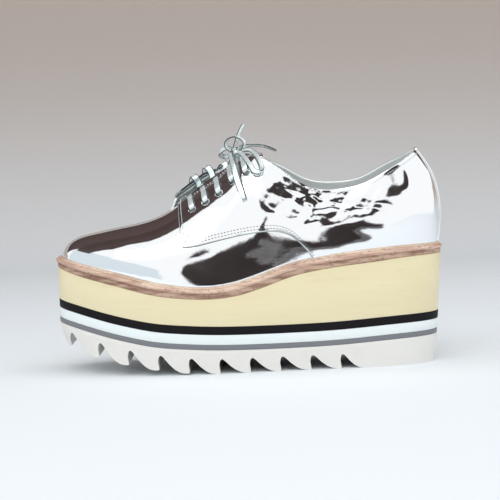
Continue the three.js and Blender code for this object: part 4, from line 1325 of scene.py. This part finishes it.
def strand(row, side, to_row):
    points = wrap(row, side)
    start_turn = eyelet_place(row, side)[0]
    end_turn, end_climb = eyelet_place(to_row, -side)
    start = edge_away(start_turn, side) - 3.6
    reach = edge_away(end_turn, -side)
    for share in (0.12, 0.36, 0.64, 0.88, 1):
        turn = (1 - share) * start_turn + share * end_turn
        away = (1 - share) * side * start - share * side * reach
        points.append(throat_place(turn, away, LACE_INSIDE + 0.25 * math.sin(math.pi * share)))
    below, normal = skin(end_turn, -side, end_climb)
    points.append(below - normal * (WALL + 0.9))
    return points


def lace_crossings():
    m = materials()
    parts = []
    bar = wrap(0, -1) + [throat_place(eyelet_place(0, -1)[0], y, LACE_INSIDE) for y in (-4, 0, 4)]
    routes = [bar + wrap(0, 1)[::-1]]
    for row in range(1, EYELET_ROWS):
        for side in (-1, 1):
            routes.append(strand(row, side, row - 1))
    for route in routes:
        line = rounded_line(route, 64)
        parts.append(ribbon(line, LACE_WIDTH, LACE_THICKNESS, THROAT_HEADING))
    points, faces, zones = joined(parts)
    return make_object("lace_crossings", points, faces, [m["lace"], m["lace_edge"]], zones)


KNOT = np.array([-7.4, -3.8, 148.7])
KNOT_WIDTH = 4.2
KNOT_THICKNESS = 1.3
# Turns of the lace in the knot: tilt in radians, size in mm
KNOT_TURNS = [(0.1, 3.4), (0.9, 3.1), (1.9, 3.0)]
BOW_WIDTH = 3.4
BOW_THICKNESS = 0.9
BOW_STEPS = 120
TIP_STEPS = 6
TIP_WIDTH = 0.7

# Bow: each cord makes a loop from the knot and comes back through it to a free end. wide
# is the way of its width, and from turns on, a share of the route, it has end_wide and
# end_size instead.
BOW = {
    "lace_ring_end": dict(
        nodes=("lace_ring", "lace_end_up"), wide=(0.62, 0.75, 0.2),
        end_wide=(0.8, 0.55, -0.2), end_size=0.85, turns=0.72, route=[
            (-9.6, -4.6, 150.2), (-13.2, -5.0, 153.0), (-13.4, -5.4, 156.6), (-10.6, -5.6, 159.2),
            (-7.2, -5.6, 160.2), (-3.6, -5.5, 159.2), (-0.8, -5.2, 156.2), (-1.6, -4.6, 152.4),
            (-5.2, -3.6, 149.8), (-7.6, -2.6, 151.2), (-7.0, -2.0, 155.2), (-5.2, -1.4, 160.0),
            (-3.2, -0.8, 164.6), (-0.9, 0, 168.6)]),
    "lace_near_loop_end": dict(
        nodes=("lace_loop_near", "lace_end_near"), wide=(0.8, 0.1, 0.6),
        end_wide=(1, 0.05, 0.1), end_size=1.25, turns=0.74, route=[
            (-4.2, -4.8, 149.6), (1.6, -9, 150.8), (5.2, -16, 149.4), (8.2, -22.6, 145.8),
            (10.4, -27.6, 140.6), (10.0, -30.6, 136.6), (6.4, -30.4, 135.8), (3.4, -27.4, 139.4),
            (0.6, -22.4, 144.0), (-2.2, -16.0, 147.6), (-6.0, -9.0, 149.4), (-9.6, -9.4, 148.6),
            (-10.4, -14.4, 146.4), (-9.0, -21.5, 141.6), (-7.0, -29.0, 132.6),
            (-4.4, -34.6, 124.4), (-2.1, -37.4, 117.8)]),
    "lace_far_loop_end": dict(
        nodes=("lace_loop_far", "lace_end_right"), wide=(0.3, -0.4, 0.9),
        end_wide=(0.1, -0.85, 0.5), end_size=1.0, turns=0.66, route=[
            (-8.8, 0.6, 149.8), (-12, 7.5, 152.2), (-16, 14, 151.6), (-18, 19.0, 148.0),
            (-14.6, 20.6, 146.0), (-10.6, 15.5, 148.6), (-7.0, 8.5, 150.8), (-4.4, 2.6, 151.8),
            (-1.0, 0.4, 153.0), (4.0, 1.2, 153.6), (9.4, 2.4, 153.4), (15.4, 3.2, 152.0),
            (21.4, 3.8, 149.4)]),
}


def knot_turn(tilt, size):
    """One oval turn of the lace round the knot's middle."""
    angle = np.linspace(0, 2 * math.pi, 41)
    axis_a = unit(np.array([math.cos(tilt), 0.2, math.sin(tilt) * 0.8]))
    axis_b = unit(np.array([-math.sin(tilt) * 0.3, 1.0, 0.5 * math.cos(tilt)]))
    ring = (KNOT + np.outer(np.cos(angle), axis_a) * size * 1.05
            + np.outer(np.sin(angle), axis_b) * size * 0.85)
    return ribbon(ring, KNOT_WIDTH, KNOT_THICKNESS, unit(np.cross(axis_a, axis_b)))


def build_lace(look):
    m = materials()
    finish_piece(lace_crossings(), "silver_lace", "lace_crossings")
    points, faces, zones = joined([knot_turn(*turn) for turn in KNOT_TURNS])
    knot = make_object("lace_knot", points, faces, [m["lace"], m["lace_edge"]], zones)
    finish_piece(knot, "silver_lace", "lace_knot")
    for name, bow in BOW.items():
        line = rounded_line(bow["route"], BOW_STEPS)
        turned = smooth((np.linspace(0, 1, len(line)) - bow["turns"]) / 0.12)[:, None]
        wide = (1 - turned) * np.array(bow["wide"]) + turned * np.array(bow["end_wide"])
        width = BOW_WIDTH * (1 + (bow["end_size"] - 1) * turned[:, 0])
        width[-TIP_STEPS:] *= np.linspace(1, TIP_WIDTH, TIP_STEPS)
        part = ribbon(line, width, BOW_THICKNESS, wide)
        obj = make_object(name, *part[:2], [m["lace"], m["lace_edge"]], part[2])
        finish_piece(obj, "silver_lace", *bow["nodes"])


# ---------------------------------------------------------------- stitching

STITCH_PITCH = 2.2
STITCH_LENGTH = 1.5
STITCH_THICKNESS = 0.6
STITCH_SEED = 7
STITCH_LIFT = 0.22
SEAM_ROWS = (1.8, 3.8)
TOP_ROW = 2.4
FRONT_ROW = 1.8


def stitch_tree(material):
    """Stitches along a line: one capsule per pitch, turned along the line."""
    tree = bpy.data.node_groups.new("Stitches", "GeometryNodeTree")
    face = tree.interface
    face.new_socket("Geometry", in_out="INPUT", socket_type="NodeSocketGeometry")
    face.new_socket("Geometry", in_out="OUTPUT", socket_type="NodeSocketGeometry")
    for label, value in (("Pitch", STITCH_PITCH), ("Stitch Length", STITCH_LENGTH),
                         ("Thickness", STITCH_THICKNESS)):
        socket = face.new_socket(label, in_out="INPUT", socket_type="NodeSocketFloat")
        socket.default_value = value * MM
    seed = face.new_socket("Seed", in_out="INPUT", socket_type="NodeSocketInt")
    seed.default_value = STITCH_SEED
    new = tree.nodes.new
    link = tree.links.new
    given = new("NodeGroupInput")
    out = new("NodeGroupOutput")
    curve = new("GeometryNodeMeshToCurve")
    even = new("GeometryNodeResampleCurve")
    even.mode = "LENGTH"
    tangent = new("GeometryNodeInputTangent")
    turn = new("FunctionNodeAlignRotationToVector")
    turn.axis = "Z"
    jitter = new("FunctionNodeRandomValue")
    jitter.data_type = "FLOAT_VECTOR"
    jitter.inputs[0].default_value = (0.9, 0.9, 0.86)
    jitter.inputs[1].default_value = (1.1, 1.1, 1.08)
    capsule = new("GeometryNodeMeshUVSphere")
    capsule.inputs["Segments"].default_value = 7
    capsule.inputs["Rings"].default_value = 6
    capsule.inputs["Radius"].default_value = 1.0
    shape = new("ShaderNodeCombineXYZ")
    half = new("ShaderNodeMath")
    half.operation = "MULTIPLY"
    half.inputs[1].default_value = 0.5
    thick = new("ShaderNodeMath")
    thick.operation = "MULTIPLY"
    thick.inputs[1].default_value = 0.5
    sized = new("GeometryNodeTransform")
    place = new("GeometryNodeInstanceOnPoints")
    real = new("GeometryNodeRealizeInstances")
    paint = new("GeometryNodeSetMaterial")
    paint.inputs["Material"].default_value = material
    link(given.outputs["Geometry"], curve.inputs["Mesh"])
    link(curve.outputs["Curve"], even.inputs["Curve"])
    link(given.outputs["Pitch"], even.inputs["Length"])
    link(tangent.outputs[0], turn.inputs["Vector"])
    link(given.outputs["Stitch Length"], half.inputs[0])
    link(given.outputs["Thickness"], thick.inputs[0])
    for axis in (0, 1):
        link(thick.outputs[0], shape.inputs[axis])
    link(half.outputs[0], shape.inputs[2])
    link(capsule.outputs["Mesh"], sized.inputs["Geometry"])
    link(shape.outputs[0], sized.inputs["Scale"])
    link(given.outputs["Seed"], jitter.inputs["Seed"])
    link(even.outputs["Curve"], place.inputs["Points"])
    link(sized.outputs["Geometry"], place.inputs["Instance"])
    link(turn.outputs["Rotation"], place.inputs["Rotation"])
    link(jitter.outputs[0], place.inputs["Scale"])
    link(place.outputs["Instances"], real.inputs["Geometry"])
    link(real.outputs["Geometry"], paint.inputs["Geometry"])
    link(paint.outputs["Geometry"], out.inputs["Geometry"])
    return tree


def stitched(name, lines, material, look):
    """Stitches along lines of points in millimetres, as one plain mesh."""
    points, edges = [], []
    for line in lines:
        start = len(points)
        points += [tuple(p * MM) for p in line]
        edges += [(start + i, start + i + 1) for i in range(len(line) - 1)]
    mesh = bpy.data.meshes.new(name)
    mesh.from_pydata(points, edges, [])
    obj = placed(name, mesh)
    tree = stitch_tree(material)
    modifier = obj.modifiers.new("stitches", "NODES")
    modifier.node_group = tree
    wanted = {"Pitch": look.stitch_pitch * MM, "Stitch Length": look.stitch_length * MM,
              "Thickness": STITCH_THICKNESS * MM, "Seed": look.seed}
    for item in tree.interface.items_tree:
        if item.in_out == "INPUT" and item.name in wanted:
            modifier[item.identifier] = wanted[item.name]
    plain = baked(obj, name)
    plain.data.polygons.foreach_set("use_smooth", [True] * len(plain.data.polygons))
    return plain


def leather_line(places, side, offset):
    p, _ = skin(places[:, 0], np.full(len(places), side), places[:, 1], offset)
    return p


def inset_line(border, inner, distance, side):
    """A border line moved towards an inner line by a length in millimetres."""
    a = form_point(border[:, 0], side, border[:, 1])
    b = form_point(inner[:, 0], side, inner[:, 1])
    gap = np.linalg.norm(a - b, axis=1)
    t = np.clip(distance / np.maximum(gap, 1e-6), 0, 1)[:, None]
    return border + (inner - border) * t


# Rows of the tack at a quarter's front corner: x and z of both ends
TACK_ROWS = [(-43.6, 94.6, -35.0, 96.0), (-43.4, 92.4, -34.8, 93.8), (-43.2, 90.2, -34.6, 91.6)]


def build_stitching(look):
    m = materials()
    seams, edges = [], []
    over = OVERLAY_GAP + OVERLAY + STITCH_LIFT
    for side in (-1, 1):
        places = filled_grid(*quarter_borders(side))
        seam_end = next(i for i in range(len(places)) if places[i, 0, 1] <= 1e-6)
        bottom, above = places[:, 0], places[:, 8]
        for away in SEAM_ROWS:
            line = inset_line(bottom, above, away, side)[2:seam_end]
            seams.append(leather_line(line, side, over))
        edges.append(leather_line(
            inset_line(places[:, -1], places[:, -9], TOP_ROW, side)[2:-2], side, over))
        edges.append(leather_line(
            inset_line(places[0], places[6], FRONT_ROW, side)[3:-2], side, over))
        for x0, z0, x1, z1 in TACK_ROWS:
            turn, climb = find_place(np.linspace(x0, x1, 12), np.linspace(z0, z1, 12), side)
            seams.append(leather_line(np.stack([turn, climb], -1), side, over))
    # The seam stitches take the grey thread darkened with painted shade.
    finish_piece(stitched("seam_stitches", seams, m["thread_dark"], look), "mirror_leather")
    finish_piece(stitched("edge_stitches", edges, m["thread_light"], look), "mirror_leather")


# ---------------------------------------------------------------- stage

CAMERA_EYE = (0.85, -1140.0, 156.0)
CAMERA_ROLL = math.radians(1.8)
FOCAL_PIXELS = 1628.6
HORIZON_PIXELS = 107.8
PICTURE_PIXELS = 500
CAMERA_PITCH = math.atan(HORIZON_PIXELS / FOCAL_PIXELS)
SENSOR_WIDTH = 36


def plain_card(name, corners, color, glow=False, shades=False):
    """A flat stage card with the given corners, in metres. It shows in reflections, and
    with shades it dims the light too."""
    shader = Shader(name, (0, 0, 0) if glow else color, 0.8)
    # A glowing card is painted light: it shines evenly though it is no lamp.
    if glow:
        shader.bsdf.inputs["Emission Color"].default_value = (*color, 1)
        shader.bsdf.inputs["Emission Strength"].default_value = 1.0
    mesh = bpy.data.meshes.new(name)
    mesh.from_pydata(corners, [], [tuple(range(len(corners)))])
    mesh.materials.append(shader.material)
    card = placed(name, mesh)
    card.visible_diffuse = card.visible_shadow = shades


def area_light(name, place, aim, size, power, color=(1, 1, 1)):
    data = bpy.data.lights.new(name, "AREA")
    data.shape = "RECTANGLE"
    data.size, data.size_y = size
    data.energy = power
    data.color = color
    light = placed(name, data)
    light.location = place
    direction = Vector(aim) - Vector(place)
    light.rotation_euler = direction.to_track_quat("-Z", "Y").to_euler()


# The backdrop's paper, in metres
PAPER_FRONT = -2.2
PAPER_BEND = 0.9
PAPER_RADIUS = 0.6
PAPER_TOP = 0.62
PAPER_HALF_WIDTH = 2.6
BEND_STEPS = 16


def sweep():
    """Floor that curves up into the wall behind the shoe."""
    profile = [(PAPER_FRONT, 0.0), (PAPER_BEND, 0.0)]
    for k in range(1, BEND_STEPS + 1):
        angle = math.pi / 2 * k / BEND_STEPS
        profile.append((PAPER_BEND + PAPER_RADIUS * math.sin(angle),
                        PAPER_RADIUS * (1 - math.cos(angle))))
    profile.append((PAPER_BEND + PAPER_RADIUS, PAPER_TOP))
    points = [(x, y, z) for y, z in profile for x in (-PAPER_HALF_WIDTH, PAPER_HALF_WIDTH)]
    faces = [(2 * i, 2 * i + 1, 2 * i + 3, 2 * i + 2) for i in range(len(profile) - 1)]
    shader = Shader("sweep_paper", (0.80, 0.82, 0.84), 0.75)
    where = shader.node("ShaderNodeTexCoord", output=3)
    height = shader.node("ShaderNodeSeparateXYZ", output=2, Vector=where)
    depth = shader.node("ShaderNodeSeparateXYZ", output=1, Vector=where)
    # The paper darkens with depth and height: painted shade of the light falling off towards the
    # wall's top.
    shade = shader.step(depth + height, 0.4, 1.9)
    shade = shade * shade
    shader.feed("Base Color", shader.mix(shade, (0.80, 0.845, 0.88), (0.42, 0.36, 0.32)))
    mesh = bpy.data.meshes.new("sweep")
    mesh.from_pydata(points, [], faces)
    mesh.materials.append(shader.material)
    mesh.polygons.foreach_set("use_smooth", [True] * len(faces))
    placed("sweep", mesh)


def build_camera():
    forward = Vector((0, math.cos(CAMERA_PITCH), -math.sin(CAMERA_PITCH)))
    level = Vector((1, 0, 0))
    up = level.cross(forward)
    right = level * math.cos(CAMERA_ROLL) - up * math.sin(CAMERA_ROLL)
    rolled_up = level * math.sin(CAMERA_ROLL) + up * math.cos(CAMERA_ROLL)
    data = bpy.data.cameras.new("camera")
    data.sensor_width = SENSOR_WIDTH
    data.lens = FOCAL_PIXELS / PICTURE_PIXELS * data.sensor_width
    data.clip_start, data.clip_end = 0.05, 20
    camera = placed("camera", data)
    turn = Matrix((right, rolled_up, -forward)).transposed().to_4x4()
    camera.matrix_world = Matrix.Translation(Vector(CAMERA_EYE) * MM) @ turn
    bpy.context.scene.camera = camera


BROWN = (0.075, 0.042, 0.036)
DARK_BROWN = (0.022, 0.012, 0.011)
PALE_BLUE = (0.68, 0.75, 0.80)

# Where the cards that the mirror leather shows stand, in metres
REAR_Y = -2.1
FRONT_WALL_Y = -2.3
SIDE_WALL_X = -2.3
CARD_LIFT = 0.004

# Corners of the cards behind the camera and of the front wall: x and z
DARK_ROOM = [(0.12, 0.01), (0.62, 0.01), (0.6, 0.14), (0.42, 0.3), (0.3, 0.5), (0.26, 0.62),
             (0.08, 0.62), (0.02, 0.34)]
DARK_ARM = [(0.06, 0.86), (0.38, 0.8), (0.72, 0.76), (0.7, 0.95), (0.5, 1.18), (0.08, 1.22)]
DARK_CORNER = [(0.5, 1.42), (0.62, 1.3), (1.2, 1.34), (1.52, 1.58), (1.58, 2.0), (1.4, 2.4),
               (1.1, 2.5), (0.86, 2.3), (0.82, 1.8), (0.52, 1.56)]
FRONT_WALL = [(-2.3, 0.0), (-0.45, 0.0), (-0.45, 0.5), (-1.0, 1.1), (-2.3, 1.9)]
# x and y on the floor, y and z of the side wall
DARK_FLOOR = [(0.14, -2.1), (0.62, -2.1), (0.36, -1.0), (0.12, -1.0)]
SIDE_WALL = [(-2.3, 0.0), (1.0, 0.0), (1.0, 2.1), (-2.3, 2.1)]
# x, y and z overhead
DARK_CEILING = [(-2.2, 0.64, 1.58), (-2.2, -0.5, 1.7), (-0.9, -0.45, 1.7),
                (-0.3, 0.0, 1.7), (0.3, 0.4, 1.64), (0.6, 0.64, 1.58)]
DARK_BACK = [(-1.8, 0.64, 1.58), (1.4, 0.64, 1.58), (1.4, 1.36, 0.62), (-1.8, 1.36, 0.62)]


def build_stage(look):
    build_camera()
    sweep()
    world = bpy.data.worlds.new("studio")
    world.use_nodes = True
    background = world.node_tree.nodes["Background"]
    background.inputs["Color"].default_value = (0.98, 0.99, 1.0, 1)
    background.inputs["Strength"].default_value = 1.0
    bpy.context.scene.world = world
    area_light("key", (-0.5, -1.4, 1.7), (0, 0, 0.08), (1.4, 1.0), 9)
    area_light("top", (0.2, 0.1, 1.9), (0, 0, 0.05), (1.6, 1.0), 8)
    plain_card("dark_room", [(x, REAR_Y, z) for x, z in DARK_ROOM], DARK_BROWN, shades=True)
    plain_card("dark_floor", [(x, y, CARD_LIFT) for x, y in DARK_FLOOR], DARK_BROWN)
    plain_card("dark_corner", [(x, REAR_Y, z) for x, z in DARK_CORNER], DARK_BROWN)
    plain_card("dark_arm", [(x, REAR_Y, z) for x, z in DARK_ARM], DARK_BROWN)
    plain_card("dark_ceiling", DARK_CEILING, BROWN)
    plain_card("dark_back", DARK_BACK, BROWN, shades=True)
    # The pale side and front walls glow with painted light and show in reflections.
    plain_card("side_wall", [(SIDE_WALL_X, y, z) for y, z in SIDE_WALL], PALE_BLUE, glow=True)
    plain_card("front_wall", [(x, FRONT_WALL_Y, z) for x, z in FRONT_WALL], PALE_BLUE,
               glow=True)
    scene = bpy.context.scene
    scene.view_settings.view_transform = "Standard"
    scene.view_settings.look = "None"
    scene.view_settings.exposure = 0.0


# ---------------------------------------------------------------- add-on

class ShoeLook(bpy.types.PropertyGroup):
    """Choices for the finish of the shoe."""

    stitch_pitch: FloatProperty(
        name="Stitch pitch", description="Distance between stitches, in millimetres",
        default=STITCH_PITCH, min=1.0, max=6.0)
    stitch_length: FloatProperty(
        name="Stitch length", description="Length of one stitch, in millimetres",
        default=STITCH_LENGTH, min=0.5, max=5.0)
    seed: IntProperty(
        name="Seed", description="Start of the random draws", default=STITCH_SEED, min=0)


def run(step, context):
    step(context.scene.shoe_look)
    return {"FINISHED"}


class SHOE_OT_stage(bpy.types.Operator):
    """Add the camera, the lights, the floor and the cards around the shoe"""

    bl_idname = "shoe.stage"
    bl_label = "Stage"

    def execute(self, context):
        return run(build_stage, context)


class SHOE_OT_lace(bpy.types.Operator):
    """Add the lace: crossings, knot, loops and ends"""

    bl_idname = "shoe.lace"
    bl_label = "Lace"

    def execute(self, context):
        return run(build_lace, context)


class SHOE_OT_sole(bpy.types.Operator):
    """Add the tread, the layers of the sole, the welt and the insole"""

    bl_idname = "shoe.sole"
    bl_label = "Sole"

    def execute(self, context):
        return run(build_sole, context)


class SHOE_OT_upper(bpy.types.Operator):
    """Add the upper, its quarters, the back strip and the tongue"""

    bl_idname = "shoe.upper"
    bl_label = "Upper"

    def execute(self, context):
        return run(build_upper, context)


class SHOE_OT_stitching(bpy.types.Operator):
    """Add the stitches of the quarters"""

    bl_idname = "shoe.stitching"
    bl_label = "Stitching"

    def execute(self, context):
        return run(build_stitching, context)


OPERATORS = (SHOE_OT_stage, SHOE_OT_lace, SHOE_OT_sole, SHOE_OT_upper, SHOE_OT_stitching)


class SHOE_PT_panel(bpy.types.Panel):
    """Buttons and choices of the shoe"""

    bl_idname = "SHOE_PT_panel"
    bl_label = "Platform lace-up shoe"
    bl_space_type = "VIEW_3D"
    bl_region_type = "UI"
    bl_category = "Shoe"

    def draw(self, context):
        look = context.scene.shoe_look
        for name in ("stitch_pitch", "stitch_length", "seed"):
            self.layout.prop(look, name)
        for operator in OPERATORS:
            self.layout.operator(operator.bl_idname)


def register():
    for item in (ShoeLook, *OPERATORS, SHOE_PT_panel):
        bpy.utils.register_class(item)
    bpy.types.Scene.shoe_look = PointerProperty(type=ShoeLook)


def unregister():
    del bpy.types.Scene.shoe_look
    for item in reversed((ShoeLook, *OPERATORS, SHOE_PT_panel)):
        bpy.utils.unregister_class(item)


def main():
    register()
    bpy.ops.shoe.stage()
    bpy.ops.shoe.lace()
    bpy.ops.shoe.sole()
    bpy.ops.shoe.upper()
    bpy.ops.shoe.stitching()


if __name__ == "__main__":
    main()
